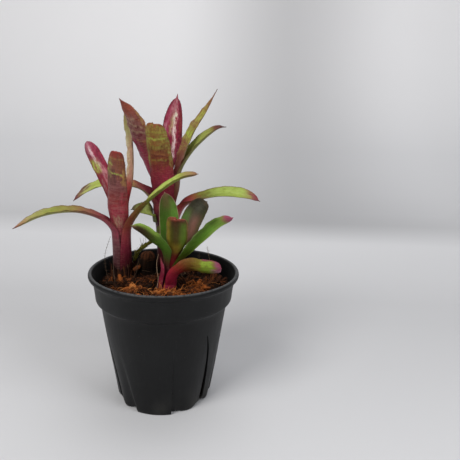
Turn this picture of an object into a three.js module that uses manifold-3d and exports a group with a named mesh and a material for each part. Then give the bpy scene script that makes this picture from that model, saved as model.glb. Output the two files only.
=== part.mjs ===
// A neoregelia bromeliad with three shoots, standing in coir in a black plastic nursery pot.
// Millimetres, +Z up. The origin is the centre of the pot's foot, on the surface it stands on.
// -Y is the front. Each leaf is a closed blade whose sheath wraps round its shoot's axis.
import * as THREE from "three";
import { mergeVertices } from "three/addons/utils/BufferGeometryUtils.js";
import Module from "manifold-3d";

// ---- driving dimensions -------------------------------------------------------------------------
const POT_HEIGHT = 92;
const LIP_RADIUS = 51; // 102 mm across the rolled lip
const LIP_DEPTH = 3.8;
const COLLAR_TOP_RADIUS = 48.1; // where the collar starts to flare out into the lip
const COLLAR_TOP_HEIGHT = 85.8;
const COLLAR_FOOT_RADIUS = 46.4;
const COLLAR_FOOT_HEIGHT = 73.4;
const BODY_TOP_RADIUS = 43.1;
const BODY_TOP_HEIGHT = 70;
const FOOT_RADIUS = 33.1;
const WALL = 1.2;
const FLOOR = 2;

const PANELS = 3; // recessed panels round the body, one between each two feet
const PANEL_STEP_ANGLE = -74; // degrees from +X, of the sharp step between a foot and its panel
const PANEL_END = 74; // degrees from the sharp step to where the panel rises to the next foot
const PANEL_LEAN = 0.3; // degrees by which that soft edge leans back, per millimetre of height
const RAMP = 6; // degrees over which it rises
const PANEL_TOP = 60; // the recess fades out at this height
const PANEL_DEPTH = 1.9; // at the foot
const PANEL_LIFT = 1.8; // a panel's lower edge stands this far off the table
const SLOT_ANGLE = 44; // degrees from the sharp step to a drainage slot's foot
// The slot as [half width, height, how far its middle leans aside there].
const SLOT_EDGE = [
  [1.5, 3.8, 0],
  [2.3, 5.2, 0],
  [2.1, 14, 0],
  [1.6, 25, -0.6],
  [1.2, 35, -1.7],
  [0.9, 45, -3.6],
  [0.3, 56, -6.9],
];

const SOIL_LEVEL = 82.5; // near the middle, before the mound
const SOIL_GAP = 0.4; // between substrate and pot
const STEM_GAP = 0.35; // round whatever stands in a hole in the substrate
const SOIL_COLUMNS = 32;
const CHIPS = 44;

const SHEATH_THICK = 0.6;
const BLADE_THICK = 1.1; // along the midline, thinning to SHEATH_THICK at the margins
const SHEATH_STATIONS = 5; // sections up a sheath, past its first
const BLADE_STATIONS = 9; // sections along a blade
const ACROSS = 6; // facets across a leaf
const FRAME_STEPS = 8; // finer steps per section, for carrying the leaf's frame along its curve
const CROWDING = 1.4; // above 1, a blade's sections lie closer towards its tip
const SHEATH_SHARES = [0, 0.25, 0.45, 0.65, 0.82, 0.94, 1]; // of its height, where a sheath keeps to its ring
const OPENING = 16; // a sheath opens into its blade over this length, unless the leaf says otherwise
const TIP_WIDTH = 1; // of the very end of a blade
const STEM_TOP_RADIUS = 0.8;

const rad = THREE.MathUtils.degToRad;
const lerp = THREE.MathUtils.lerp;
const smooth = THREE.MathUtils.smoothstep;

// ---- materials ------------------------------------------------------------------------------------
const paint = (color, roughness) => new THREE.MeshStandardMaterial({ color, roughness, metalness: 0 });
const BLACK_PLASTIC = paint(0x1e2022, 0.5);
const COIR = paint(0x8a4a22, 0.95);
const HUSK = paint(0x2e1c14, 0.9);
const MAGENTA = paint(0x8c2440, 0.4);
const BANDED = paint(0x74522c, 0.4);
const GREEN = paint(0x7fa02e, 0.4);
const DARK_GREEN = paint(0x3f6a28, 0.4);
const DRY = paint(0x9a7a4c, 0.8);

// ---- booleans ---------------------------------------------------------------------------------------
const wasm = await Module();
wasm.setup();

function solid(geometry) {
  const bare = geometry.index ? geometry.toNonIndexed() : geometry.clone();
  bare.deleteAttribute("normal");
  bare.deleteAttribute("uv");
  const merged = mergeVertices(bare, 1e-3);
  return new wasm.Manifold(
    new wasm.Mesh({
      numProp: 3,
      vertProperties: merged.attributes.position.array,
      triVerts: new Uint32Array(merged.index.array),
    }),
  );
}

function geometryOf(made) {
  const mesh = made.getMesh();
  return new THREE.BufferGeometry()
    .setAttribute("position", new THREE.BufferAttribute(mesh.vertProperties, 3))
    .setIndex(new THREE.BufferAttribute(mesh.triVerts, 1));
}

// ---- closed shapes round the Z axis -------------------------------------------------------------------
// Outlines that start and end on the axis, one for each direction, joined in order all the way round.
function bandMesh(outlines) {
  const count = outlines[0].length;
  const faces = [];
  for (let i = 0; i < outlines.length; i++) {
    const next = (i + 1) % outlines.length;
    for (let j = 0; j < count - 1; j++) {
      const [a, b, c, d] = [i * count + j, i * count + j + 1, next * count + j + 1, next * count + j];
      if (j > 0) faces.push(a, d, c);
      if (j < count - 2) faces.push(a, c, b);
    }
  }
  return meshOf(outlines.flat(), faces);
}

function meshOf(points, faces) {
  return new THREE.BufferGeometry()
    .setAttribute("position", new THREE.Float32BufferAttribute(points.flatMap((p) => [p.x, p.y, p.z]), 3))
    .setIndex(faces);
}

const polar = (radius, angle, z) => new THREE.Vector3(radius * Math.cos(angle), radius * Math.sin(angle), z);

// ---- pot ------------------------------------------------------------------------------------------------
const LIP_UNDER = POT_HEIGHT - LIP_DEPTH;
const wallRadius = (height) => lerp(FOOT_RADIUS, BODY_TOP_RADIUS, height / BODY_TOP_HEIGHT);

// The wall's outline as [radius, height], up the outside, over the lip and down the inside to the floor.
const POT_OUTLINE = [
  [0, 0],
  [22, 0],
  [FOOT_RADIUS - 0.6, 0],
  [FOOT_RADIUS, 0.7],
  [wallRadius(14), 14],
  [wallRadius(36), 36],
  [wallRadius(58), 58],
  [BODY_TOP_RADIUS, BODY_TOP_HEIGHT],
  [COLLAR_FOOT_RADIUS, COLLAR_FOOT_HEIGHT],
  [COLLAR_TOP_RADIUS, COLLAR_TOP_HEIGHT],
  [LIP_RADIUS - 0.6, LIP_UNDER],
  [LIP_RADIUS, LIP_UNDER + 1.6],
  [LIP_RADIUS - 0.2, POT_HEIGHT - 0.8],
  [LIP_RADIUS - 1, POT_HEIGHT],
  [LIP_RADIUS - 2.3, POT_HEIGHT - 0.6],
  [COLLAR_TOP_RADIUS - WALL, COLLAR_TOP_HEIGHT + 0.4],
  [COLLAR_FOOT_RADIUS - WALL, COLLAR_FOOT_HEIGHT + 0.4],
  [BODY_TOP_RADIUS - WALL, BODY_TOP_HEIGHT + 0.4],
  [wallRadius(58) - WALL, 58],
  [wallRadius(36) - WALL, 36],
  [wallRadius(14) - WALL, 14],
  [FOOT_RADIUS - WALL - 0.2, FLOOR],
  [20, FLOOR],
  [0, FLOOR],
];

// The pitch of one panel and one foot holds these columns, in degrees past the panel's sharp step.
const PITCH = 360 / PANELS;
const COLUMNS = [0, 11, 22, 33, SLOT_ANGLE, 53, 60, 67, PANEL_END, PANEL_END + RAMP, 92, 105, PITCH - 0.7];

// How deep the recess is, from 0 to 1: deepest at the sharp step, at the slot and at the soft edge.
function recess(column, height) {
  const half = column < SLOT_ANGLE ? column / SLOT_ANGLE : (column - SLOT_ANGLE) / (PANEL_END - SLOT_ANGLE);
  const floor = 0.72 + 0.28 * Math.cos(2 * Math.PI * half);
  const end = PANEL_END - PANEL_LEAN * height;
  return floor * (1 - smooth(column, end, end + RAMP));
}

function potOutline(panel, column) {
  const angle = rad(PANEL_STEP_ANGLE + panel * PITCH + column);
  return POT_OUTLINE.map(([radius, height]) => {
    const share = recess(column, height);
    const low = share * (1 - smooth(height, 0, PANEL_TOP));
    const outward = smooth(radius, 22, FOOT_RADIUS - 2);
    const lift = PANEL_LIFT * smooth(share, 0.4, 1) * outward * (1 - smooth(height, 2, 12));
    return polar(radius - PANEL_DEPTH * low * outward, angle, height + lift);
  });
}

function potGeometry() {
  const panels = Array.from({ length: PANELS }, (_, panel) => panel);
  let pot = solid(bandMesh(panels.flatMap((panel) => COLUMNS.map((column) => potOutline(panel, column)))));
  for (const panel of panels) {
    pot = pot.subtract(solid(slotWedge(PANEL_STEP_ANGLE + panel * PITCH + SLOT_ANGLE)));
  }
  return geometryOf(pot);
}

// A drainage slot: a leaning wedge through the wall, widest just above the foot.
function slotWedge(angle) {
  const side = (sign) =>
    SLOT_EDGE.map(([half, height, lean]) => new THREE.Vector2(lean + sign * half, height));
  const wedge = new THREE.Shape([new THREE.Vector2(0, 3.3), ...side(1), ...side(-1).reverse()]);
  return new THREE.ExtrudeGeometry(wedge, { depth: 20, bevelEnabled: false })
    .rotateX(Math.PI / 2)
    .rotateZ(Math.PI / 2)
    .translate(28, 0, 0)
    .rotateZ(rad(angle));
}

// ---- shoots ---------------------------------------------------------------------------------------------
// A shoot's axis runs straight from its foot through its crown. Its sheaths nest in rings round the axis.
// hole: radius of the hole in the substrate, round the axis.
// flare: between its first two heights all rings widen by its third value, above where the outer leaves part.
// Of a leaf:
//   turn    degrees from +X in which it leaves the axis
//   ring    radius of its sheath at the foot
//   clasp   degrees that the sheath reaches to each side, at its foot and where the blade parts
//   starts  height of the sheath's lower edge; without it the sheath stands on the stem's shoulder
//   parts   height at which the blade leaves the tube
//   blade   where the middle of the blade runs, ending at its tip
//   width   of the blade laid flat, and curl: degrees that its section bends from its middle to each margin
//   tip     length over which the end narrows, and round: 0.3 for a blunt end up to 1 for a pointed one
//   twist   degrees that the blade turns about its own length
const SHOOTS = [
  {
    name: "left",
    foot: [-29.8, 6, 70],
    crown: [-32.4, 9, 146],
    hole: 7.3,
    flare: [111, 135, 3],
    leaves: [
      {
        name: "right", turn: -28, ring: 6.7, clasp: [66, 42], parts: 117, opening: 14,
        width: 11.5, curl: 48, tip: 9, round: 0.5, twist: 36, material: GREEN,
        blade: [[-20, 3, 129], [-8, 3.6, 142.6], [4, 4.5, 151.9], [12, 5.2, 156], [21.6, 6, 157.4]],
      },
      {
        name: "low", turn: 198, ring: 5.78, clasp: [88, 72], parts: 116,
        width: 11, curl: 56, tip: 26, round: 0.7, twist: -18, material: GREEN,
        blade: [[-41.9, 4, 124.6], [-55, 2, 130.3], [-68, 0, 131], [-83, -3, 127.8], [-99.7, -7, 118.5]],
      },
      {
        name: "front", turn: -96, ring: 4.82, clasp: [92, 66], parts: 134,
        width: 14.5, curl: 50, tip: 26, round: 0.24, twist: 0, material: BANDED,
        blade: [[-31.7, -0.5, 147], [-31.5, -2.5, 160], [-30, -7, 172.4]],
      },
      {
        name: "inner", turn: 152, ring: 3.92, clasp: [88, 52], parts: 135,
        width: 11, curl: 38, tip: 13, round: 0.45, twist: -30, material: MAGENTA,
        blade: [[-41.5, 13.5, 148], [-47.8, 15, 162], [-55.2, 17, 175.4]],
      },
      {
        name: "upright", turn: 48, ring: 3, clasp: [86, 55], parts: 134,
        width: 9, curl: 58, tip: 20, round: 0.6, twist: -12, material: BANDED,
        blade: [[-26, 17, 151], [-26.4, 22.5, 164], [-28.9, 30.5, 179.2], [-33.6, 36, 194.3]],
      },
    ],
  },
  {
    name: "tall",
    foot: [-1.6, 26, 70],
    crown: [-3.1, 29, 152],
    hole: 8.3,
    flare: [107, 132, 2.4],
    leaves: [
      {
        name: "right_low", turn: -10, ring: 7.6, clasp: [88, 72], parts: 119, opening: 34,
        width: 13, curl: 42, tip: 20, round: 0.6, twist: 25, material: GREEN,
        blade: [
          [11, 26, 131.5], [20, 24, 137.4], [34, 21, 142.2],
          [46, 18, 143.2], [56, 17, 141.8], [64, 16, 138.2],
        ],
      },
      {
        name: "left_low", turn: 182, ring: 6.65, clasp: [88, 72], parts: 132,
        width: 9.4, curl: 50, tip: 20, round: 0.65, twist: -20, material: GREEN,
        blade: [[-17.5, 25.5, 142], [-30, 25, 146.4], [-44, 24, 146.5], [-58, 22, 141], [-67, 20, 133]],
      },
      {
        name: "front", turn: -100, ring: 5.7, clasp: [92, 60], parts: 134,
        width: 18.5, curl: 40, tip: 26, round: 0.22, twist: 0, material: BANDED,
        blade: [[-4.8, 18, 156], [-6.2, 14.5, 171], [-8.6, 7.5, 189.4]],
      },
      {
        name: "left", turn: 212, ring: 4.75, clasp: [88, 55], parts: 142,
        width: 17, curl: 40, tip: 28, round: 0.75, twist: 28, material: BANDED,
        blade: [[-13, 24.5, 158], [-19, 21.5, 176], [-24.6, 18.5, 192], [-32.3, 15, 204.3]],
      },
      {
        name: "right_mid", turn: -6, ring: 3.8, clasp: [84, 40], parts: 128,
        width: 14, curl: 48, tip: 26, round: 0.7, twist: 22, material: GREEN,
        blade: [
          [5.1, 28.4, 145], [6.3, 28.8, 156], [14, 28, 170.2],
          [23.4, 27, 180.3], [32.8, 26, 186.8], [38.8, 25, 187.6],
        ],
      },
      {
        name: "right_high", turn: 20, ring: 2.9, clasp: [84, 30], parts: 138,
        width: 11.6, curl: 44, tip: 44, round: 0.8, twist: 14, material: BANDED,
        blade: [
          [8.3, 29.9, 167.5], [15, 32.2, 184.6], [21.4, 34, 194.6], [27, 35.3, 204], [31.6, 36.5, 212.6],
        ],
      },
      {
        name: "inner", turn: 88, ring: 2, clasp: [92, 54], parts: 151, opening: 28,
        width: 15.5, curl: 40, tip: 28, round: 0.55, twist: 0, material: MAGENTA,
        blade: [[-0.8, 42.4, 167], [0, 44.8, 187], [3, 46.6, 208.3]],
      },
      {
        name: "small", turn: 198, ring: 8.1, clasp: [34, 32], starts: 119, parts: 125,
        width: 8.6, curl: 22, tip: 12, round: 0.75, twist: -34, material: GREEN,
        blade: [[-15, 19.6, 129.6], [-18.6, 18.2, 130.2], [-22.6, 17, 130.2], [-25.8, 15.2, 129.2]],
      },
      {
        name: "bract", turn: 250, ring: 8.6, clasp: [24, 24], starts: 102, parts: 112,
        width: 7, curl: 28, tip: 7, round: 0.6, twist: 0, material: DRY,
        blade: [[-6.2, 17.4, 119]],
      },
    ],
  },
  {
    name: "small",
    foot: [1, -15, 70],
    crown: [7.8, -8, 110],
    hole: 7,
    flare: [92, 108, 1.3],
    leaves: [
      {
        name: "low", turn: -38, ring: 5.5, clasp: [86, 66], parts: 87,
        width: 12.8, curl: 30, tip: 6.5, round: 0.36, twist: -44, material: GREEN,
        blade: [
          [9.6, -19.4, 95.8], [14.5, -21, 100.4], [20, -22, 102.7], [27, -22.7, 102], [39.4, -25, 102.2],
        ],
      },
      {
        name: "left", turn: 200, ring: 4.6, clasp: [86, 60], parts: 98,
        width: 16.5, curl: 44, tip: 12, round: 0.5, twist: 36, material: DARK_GREEN,
        blade: [[1, -14, 111], [-5, -17, 118], [-12, -19, 124.2], [-19, -20.3, 127.2]],
      },
      {
        name: "right", turn: -12, ring: 3.7, clasp: [86, 60], parts: 99,
        width: 15, curl: 48, tip: 10, round: 0.42, twist: -24, material: GREEN,
        blade: [[19, -11, 111], [27, -13, 120], [36, -15.5, 129], [45.6, -18, 134.2]],
      },
      {
        name: "front", turn: -88, ring: 2.8, clasp: [90, 56], parts: 103,
        width: 15, curl: 44, tip: 7, round: 0.2, twist: 0, material: BANDED,
        blade: [[9.5, -15, 116], [10, -17, 124.5], [10, -20.5, 133.2]],
      },
      {
        name: "left_up", turn: 150, ring: 2, clasp: [88, 46], parts: 98,
        width: 14, curl: 34, tip: 16, round: 0.55, twist: -35, material: DARK_GREEN,
        blade: [[3, -4, 119], [2.6, -3, 132], [0.3, -4, 146.3]],
      },
      {
        name: "right_back", turn: 44, ring: 1.2, clasp: [92, 42], parts: 107,
        width: 15.5, curl: 34, tip: 12, round: 0.35, twist: 25, material: DARK_GREEN,
        blade: [[15.2, -4.2, 117.5], [18.3, -0.8, 127.2], [22.6, 2.4, 135.1], [27.8, 4.8, 139.6]],
      },
      {
        name: "bract", turn: 216, ring: 6.3, clasp: [26, 26], starts: 79.5, parts: 90,
        width: 6, curl: 30, tip: 10, round: 0.7, twist: 0, material: MAGENTA,
        blade: [[0.6, -17.2, 97.5], [-0.5, -15.8, 105.3]],
      },
    ],
  },
];

const STEM_SLOPE = 2.2; // a stem's cone rises this much for each millimetre that it narrows
const SHOULDER = 8; // a stem's shoulder stands this far above its foot
const SEAT = 0.5; // between a sheath's lower edge and the stem

const vector = (p) => new THREE.Vector3(...p);
const stemRadius = (shoot) => shoot.leaves[0].ring + SHEATH_THICK / 2;

function axisPoint(shoot, height) {
  const share = (height - shoot.foot[2]) / (shoot.crown[2] - shoot.foot[2]);
  return vector(shoot.foot).lerp(vector(shoot.crown), share);
}

function axisDirection(shoot) {
  return vector(shoot.crown).sub(vector(shoot.foot)).normalize();
}

function ringAt(shoot, leaf, height) {
  const [from, to, spread] = shoot.flare;
  return leaf.ring + spread * smooth(height, from, to);
}

// The height at which a leaf's sheath starts: just over the stem's cone, where that is as wide as the sheath.
function sheathFoot(shoot, leaf) {
  if (leaf.starts) return leaf.starts;
  return shoot.foot[2] + SHOULDER + SEAT + (stemRadius(shoot) - leaf.ring + SHEATH_THICK / 2) * STEM_SLOPE;
}

// The share of a leaf's length at a station, where its sheath takes the first part of that length.
function stationShare(station, sheathPart) {
  if (station <= SHEATH_STATIONS) return (sheathPart * station) / SHEATH_STATIONS;
  const left = 1 - (station - SHEATH_STATIONS) / BLADE_STATIONS;
  return 1 - (1 - sheathPart) * left ** CROWDING;
}

// A leaf's middle line, as points with a tangent and the direction of its inner face.
function leafFrames(shoot, leaf) {
  const axis = axisDirection(shoot);
  const out = new THREE.Vector3(Math.cos(rad(leaf.turn)), Math.sin(rad(leaf.turn)), 0);
  out.addScaledVector(axis, -out.dot(axis)).normalize();
  const start = sheathFoot(shoot, leaf);
  const sheath = SHEATH_SHARES.map((share) => {
    const height = lerp(start, leaf.parts, share);
    return axisPoint(shoot, height).addScaledVector(out, ringAt(shoot, leaf, height));
  });
  const curve = new THREE.CatmullRomCurve3([...sheath, ...leaf.blade.map(vector)], false, "centripetal");
  curve.arcLengthDivisions = 400;
  const sheathLength = sheath[0].distanceTo(sheath.at(-1));
  const total = curve.getLength();
  const frames = [];
  const inner = out.clone().negate();
  for (let i = 0; i <= (SHEATH_STATIONS + BLADE_STATIONS) * FRAME_STEPS; i++) {
    const share = stationShare(i / FRAME_STEPS, sheathLength / total);
    const tangent = curve.getTangentAt(share);
    inner.addScaledVector(tangent, -inner.dot(tangent)).normalize();
    if (i % FRAME_STEPS) continue;
    const along = share * total;
    const free = Math.max(0, (along - sheathLength) / (total - sheathLength)); // 0 to 1 along the blade
    const face = inner.clone().applyAxisAngle(tangent, rad(leaf.twist) * smooth(free, 0, 0.6));
    const risen = Math.min(1, along / sheathLength); // 0 to 1 up the sheath
    const open = smooth(along, sheathLength, sheathLength + (leaf.opening ?? OPENING)); // 0 in the sheath
    frames.push({
      at: curve.getPointAt(share), tangent, face, free, open, left: total - along,
      ring: ringAt(shoot, leaf, lerp(start, leaf.parts, risen)),
      clasp: rad(lerp(...leaf.clasp, risen ** 2)),
    });
  }
  return frames;
}

// A leaf is a row of sections, each an arc bent round the inner face. In the sheath the arc is centred on
// the shoot's axis; in the blade it is flatter, and the middle line runs halfway up its depth.
function leafGeometry(shoot, leaf) {
  const rings = leafFrames(shoot, leaf).map(({ at, tangent, face, free, open, left, ring, clasp }) => {
    const bend = lerp(clasp, rad(leaf.curl), open);
    const narrowing = Math.max(0, 1 - left / leaf.tip);
    const end = Math.max((1 - narrowing ** 2) ** leaf.round, TIP_WIDTH / leaf.width);
    const half = lerp(clasp * ring, leaf.width / 2, open) * end;
    const radius = half / bend;
    const lift = (open * radius * (1 - Math.cos(bend))) / 2;
    const thick = lerp(SHEATH_THICK, BLADE_THICK, open * (1 - free ** 4));
    const side = new THREE.Vector3().crossVectors(face, tangent);
    const row = (sign) =>
      Array.from({ length: ACROSS + 1 }, (_, j) => {
        const across = (2 * j) / ACROSS - 1;
        const r = radius + (sign * lerp(thick, SHEATH_THICK, across ** 2)) / 2;
        return at
          .clone()
          .addScaledVector(face, radius - lift - r * Math.cos(bend * across))
          .addScaledVector(side, r * Math.sin(bend * across));
      });
    return [...row(1), ...row(-1).reverse()];
  });
  return bladeMesh(rings);
}

// Rings of a blade: its outer row, then its inner row backwards. Both faces are split alike.
function bladeMesh(rings) {
  const count = rings[0].length;
  const half = count / 2;
  const id = (i, j) => i * count + j;
  const faces = [];
  const quad = (a, b, c, d) => faces.push(a, b, c, a, c, d);
  for (let i = 0; i < rings.length - 1; i++) {
    for (let j = 0; j < half - 1; j++) {
      const k = count - 1 - j; // the inner point that faces outer point j
      quad(id(i, j), id(i, j + 1), id(i + 1, j + 1), id(i + 1, j));
      faces.push(id(i, k), id(i + 1, k - 1), id(i, k - 1), id(i, k), id(i + 1, k), id(i + 1, k - 1));
    }
    quad(id(i, half - 1), id(i, half), id(i + 1, half), id(i + 1, half - 1));
    quad(id(i, count - 1), id(i, 0), id(i + 1, 0), id(i + 1, count - 1));
  }
  const last = rings.length - 1;
  for (let j = 0; j < half - 1; j++) {
    const k = count - 1 - j;
    quad(id(0, j), id(0, k), id(0, k - 1), id(0, j + 1));
    quad(id(last, j), id(last, j + 1), id(last, k - 1), id(last, k));
  }
  return meshOf(rings.flat(), faces);
}

// A round solid about a shoot's axis, from its outline as [radius, height above the foot].
function alongAxis(shoot, outline) {
  const upright = new THREE.Quaternion().setFromUnitVectors(new THREE.Vector3(0, 0, 1), axisDirection(shoot));
  return new THREE.LatheGeometry(outline.map(([r, h]) => new THREE.Vector2(r, h)), 20)
    .rotateX(Math.PI / 2)
    .applyQuaternion(upright)
    .translate(...shoot.foot);
}

// A stem is the short core of a shoot: a peg in the substrate with a cone on it, which the sheaths stand on.
function stemGeometry(shoot) {
  const wide = stemRadius(shoot);
  const top = SHOULDER + (wide - STEM_TOP_RADIUS) * STEM_SLOPE;
  return alongAxis(shoot, [
    [0, 0], [wide - 1.5, 0], [wide, 2], [wide, SHOULDER], [STEM_TOP_RADIUS, top], [0, top],
  ]);
}

// ---- substrate and what stands in it ----------------------------------------------------------------
// The substrate's outline as [radius, height], from the middle of its underside up its side.
const SOIL_SIDE = [
  [0, FLOOR + 0.3],
  [19.5, FLOOR + 0.3],
  [29.4, FLOOR + PANEL_LIFT + 0.3],
  [34.8, 30],
  [40, 60],
  [BODY_TOP_RADIUS - WALL - SOIL_GAP, 70.9],
  [COLLAR_FOOT_RADIUS - WALL - SOIL_GAP - 0.2, 74.8],
];
const SOIL_RINGS = [45.3, 38, 31, 24, 16, 8, 0]; // radii of the rings of its upper side

let seed = 7;
function random(from, to) {
  seed = (seed * 16807) % 2147483647;
  return lerp(from, to, seed / 2147483647);
}

function soilHeight(x, y) {
  const mound = 2.2 * Math.exp(-((x + 8) ** 2 + (y - 6) ** 2) / 1350);
  const bumps = 0.5 * Math.sin(x * 0.55 + 1) * Math.sin(y * 0.6 + 2);
  return SOIL_LEVEL + mound + bumps - 2.2 * smooth(Math.hypot(x, y), 33, 45);
}

function soilOutline(angle) {
  const side = SOIL_SIDE.map(([radius, height]) => polar(radius, angle, height));
  const top = SOIL_RINGS.map((radius) => {
    const point = polar(radius, angle, 0);
    return point.setZ(soilHeight(point.x, point.y));
  });
  return [...side, ...top];
}

// A chip of coir, half sunk into the upper side.
function chip() {
  const radius = 41 * Math.sqrt(random(0, 1));
  const at = polar(radius, random(0, 2 * Math.PI), 0);
  return new THREE.BoxGeometry(random(4, 8), random(2.5, 4.5), random(2, 3))
    .rotateX(random(-0.5, 0.5))
    .rotateY(random(-0.5, 0.5))
    .rotateZ(random(0, Math.PI))
    .translate(at.x, at.y, soilHeight(at.x, at.y) + random(0, 0.6));
}

function substrateGeometry() {
  const angles = Array.from({ length: SOIL_COLUMNS }, (_, i) => (i * 2 * Math.PI) / SOIL_COLUMNS);
  let soil = solid(bandMesh(angles.map(soilOutline)));
  for (let i = 0; i < CHIPS; i++) soil = soil.add(solid(chip()));
  for (const shoot of SHOOTS) soil = soil.subtract(solid(leaningHole(shoot)));
  soil = soil.subtract(solid(huskGeometry(STEM_GAP))).subtract(solid(stolonCane(STEM_GAP)));
  return geometryOf(largest(soil));
}

function leaningHole(shoot) {
  return alongAxis(shoot, [[0, -STEM_GAP], [shoot.hole, -STEM_GAP], [shoot.hole, 30], [0, 30]]);
}

function largest(made) {
  return made.decompose().reduce((a, b) => (a.volume() > b.volume() ? a : b));
}

// A chunk of husk that stands upright between the shoots.
const HUSK_OUTLINE = [
  [0, 72], [5.4, 72], [6.2, 78], [6.5, 87], [6.1, 93], [5.2, 97.5], [4, 100], [2.4, 101], [0, 101.2],
];
const HUSK_CENTRE = [-13, 9];

function huskGeometry(margin) {
  const outlines = Array.from({ length: 18 }, (_, i) => {
    const angle = (i * Math.PI) / 9;
    const ridge = i % 2 ? 0.45 : -0.45;
    return HUSK_OUTLINE.map(([radius, height]) => {
      const reach = radius ? radius + ridge + margin : 0;
      const up = height < 75 ? -margin : 0;
      return polar(reach, angle, height + up).add(new THREE.Vector3(...HUSK_CENTRE, 0));
    });
  });
  return bandMesh(outlines);
}

// The stolon rises from the substrate beside the left shoot and ends against the tall one.
const STOLON_RADIUS = 1.7;
const STOLON_ROUTE = [
  [-23.4, 13.4, 76], [-23.4, 13.5, 82], [-23.4, 13.9, 90], [-21.8, 15.6, 97.5],
  [-17.2, 18.9, 102], [-12.8, 22, 104.6], [-9.3, 24, 105.8],
];

const STOLON_SECTIONS = 14;
const STOLON_SIDES = 8;
const STOLON_BRACTS = [0.42, 0.6, 0.76]; // shares of its length where a short pointed bract sits

const stolonCurve = () => new THREE.CatmullRomCurve3(STOLON_ROUTE.map(vector), false, "centripetal");

function stolonCane(margin) {
  const curve = stolonCurve();
  const { normals, binormals } = curve.computeFrenetFrames(STOLON_SECTIONS, false);
  const points = [];
  const faces = [];
  for (let i = 0; i <= STOLON_SECTIONS; i++) {
    for (let j = 0; j < STOLON_SIDES; j++) {
      const angle = (j * 2 * Math.PI) / STOLON_SIDES;
      const point = curve.getPointAt(i / STOLON_SECTIONS);
      point.addScaledVector(normals[i], (STOLON_RADIUS + margin) * Math.cos(angle));
      points.push(point.addScaledVector(binormals[i], (STOLON_RADIUS + margin) * Math.sin(angle)));
    }
  }
  for (let i = 0; i < STOLON_SECTIONS; i++) {
    for (let j = 0; j < STOLON_SIDES; j++) {
      const k = (j + 1) % STOLON_SIDES;
      const [a, b] = [i * STOLON_SIDES, (i + 1) * STOLON_SIDES];
      faces.push(a + j, a + k, b + k, a + j, b + k, b + j);
    }
  }
  const end = STOLON_SECTIONS * STOLON_SIDES;
  for (let j = 1; j < STOLON_SIDES - 1; j++) faces.push(0, j + 1, j, end, end + j, end + j + 1);
  return meshOf(points, faces);
}

function stolonGeometry() {
  const curve = stolonCurve();
  const bracts = STOLON_BRACTS.map((share, i) => {
    const lean = curve.getTangentAt(share).add(new THREE.Vector3(0, -0.3, 0.35 - 0.2 * i)).normalize();
    const turn = new THREE.Quaternion().setFromUnitVectors(new THREE.Vector3(0, 1, 0), lean);
    const at = curve.getPointAt(share);
    const bract = new THREE.ConeGeometry(2.3, 7, 7).translate(0, 2.2, 0).applyQuaternion(turn);
    return solid(bract.translate(...at));
  });
  return geometryOf(bracts.reduce((all, bract) => all.add(bract), solid(stolonCane(0))));
}

// ---- the assembly ---------------------------------------------------------------------------------------
const plant = new THREE.Group();

function place(name, geometry, material) {
  const mesh = new THREE.Mesh(geometry, material);
  mesh.name = name;
  plant.add(mesh);
}

place("pot", potGeometry(), BLACK_PLASTIC);
place("substrate", substrateGeometry(), COIR);
place("husk_chunk", huskGeometry(0), HUSK);
place("stolon", stolonGeometry(), DRY);
for (const shoot of SHOOTS) {
  place(`stem_${shoot.name}`, stemGeometry(shoot), HUSK);
  for (const leaf of shoot.leaves) {
    place(`${shoot.name}_${leaf.name}`, leafGeometry(shoot, leaf), leaf.material);
  }
}

export default plant;
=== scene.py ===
"""The looks of a potted neoregelia bromeliad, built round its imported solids.

The tables are in millimetres, as the part's own dimensions are, and MM turns them into Blender's metres.
+Z is up and -Y is the front. The origin is the centre of the pot's foot.
"""

import math
import random

import bmesh
import bpy
import numpy as np
from mathutils import Matrix, Vector, noise


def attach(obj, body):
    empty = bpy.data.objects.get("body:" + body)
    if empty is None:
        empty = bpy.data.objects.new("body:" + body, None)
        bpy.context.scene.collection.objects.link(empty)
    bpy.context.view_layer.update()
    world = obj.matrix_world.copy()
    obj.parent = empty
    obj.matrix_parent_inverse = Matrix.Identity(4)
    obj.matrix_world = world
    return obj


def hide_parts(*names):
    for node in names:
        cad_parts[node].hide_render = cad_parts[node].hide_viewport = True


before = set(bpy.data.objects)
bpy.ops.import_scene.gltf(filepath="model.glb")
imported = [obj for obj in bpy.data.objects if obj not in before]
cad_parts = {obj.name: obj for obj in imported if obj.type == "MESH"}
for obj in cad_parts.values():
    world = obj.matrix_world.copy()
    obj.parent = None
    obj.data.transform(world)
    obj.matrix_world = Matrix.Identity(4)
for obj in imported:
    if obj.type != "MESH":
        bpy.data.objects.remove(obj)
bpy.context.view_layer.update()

MM = 0.001

# ---- driving dimensions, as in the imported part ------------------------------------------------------
BODY_TOP = (43.1, 70)  # radius and height
FOOT_RADIUS = 33.1
WALL = 1.2
FLOOR = 2
PANELS = 3
PANEL_STEP_ANGLE = -74
PANEL_END = 74
PANEL_LEAN = 0.3
RAMP = 6
PANEL_TOP = 60
PANEL_DEPTH = 1.9
PANEL_LIFT = 1.8
SLOT_ANGLE = 44
# Half width, height and lean of a slot.
SLOT_EDGE = [(1.5, 3.8, 0), (2.3, 5.2, 0), (2.1, 14, 0), (1.6, 25, -0.6), (1.2, 35, -1.7), (0.9, 45, -3.6),
             (0.3, 56, -6.9)]
SOIL_LEVEL = 82.5

SHEATH_SHARES = (0, 0.25, 0.45, 0.65, 0.82, 0.94, 1)
OPENING = 16
CROWDING = 1.4
SHOULDER = 8
SEAT = 0.5
STEM_SLOPE = 2.2
CAD_SHEATH_THICK = 0.6

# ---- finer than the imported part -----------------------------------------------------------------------
SHEATH_ROWS = 26
BLADE_ROWS = 80
ACROSS = 22  # facets across a leaf
SHEATH_THICK = 0.45
BLADE_THICK = 1.0  # along the midline
MARGIN_THICK = 0.22

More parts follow.
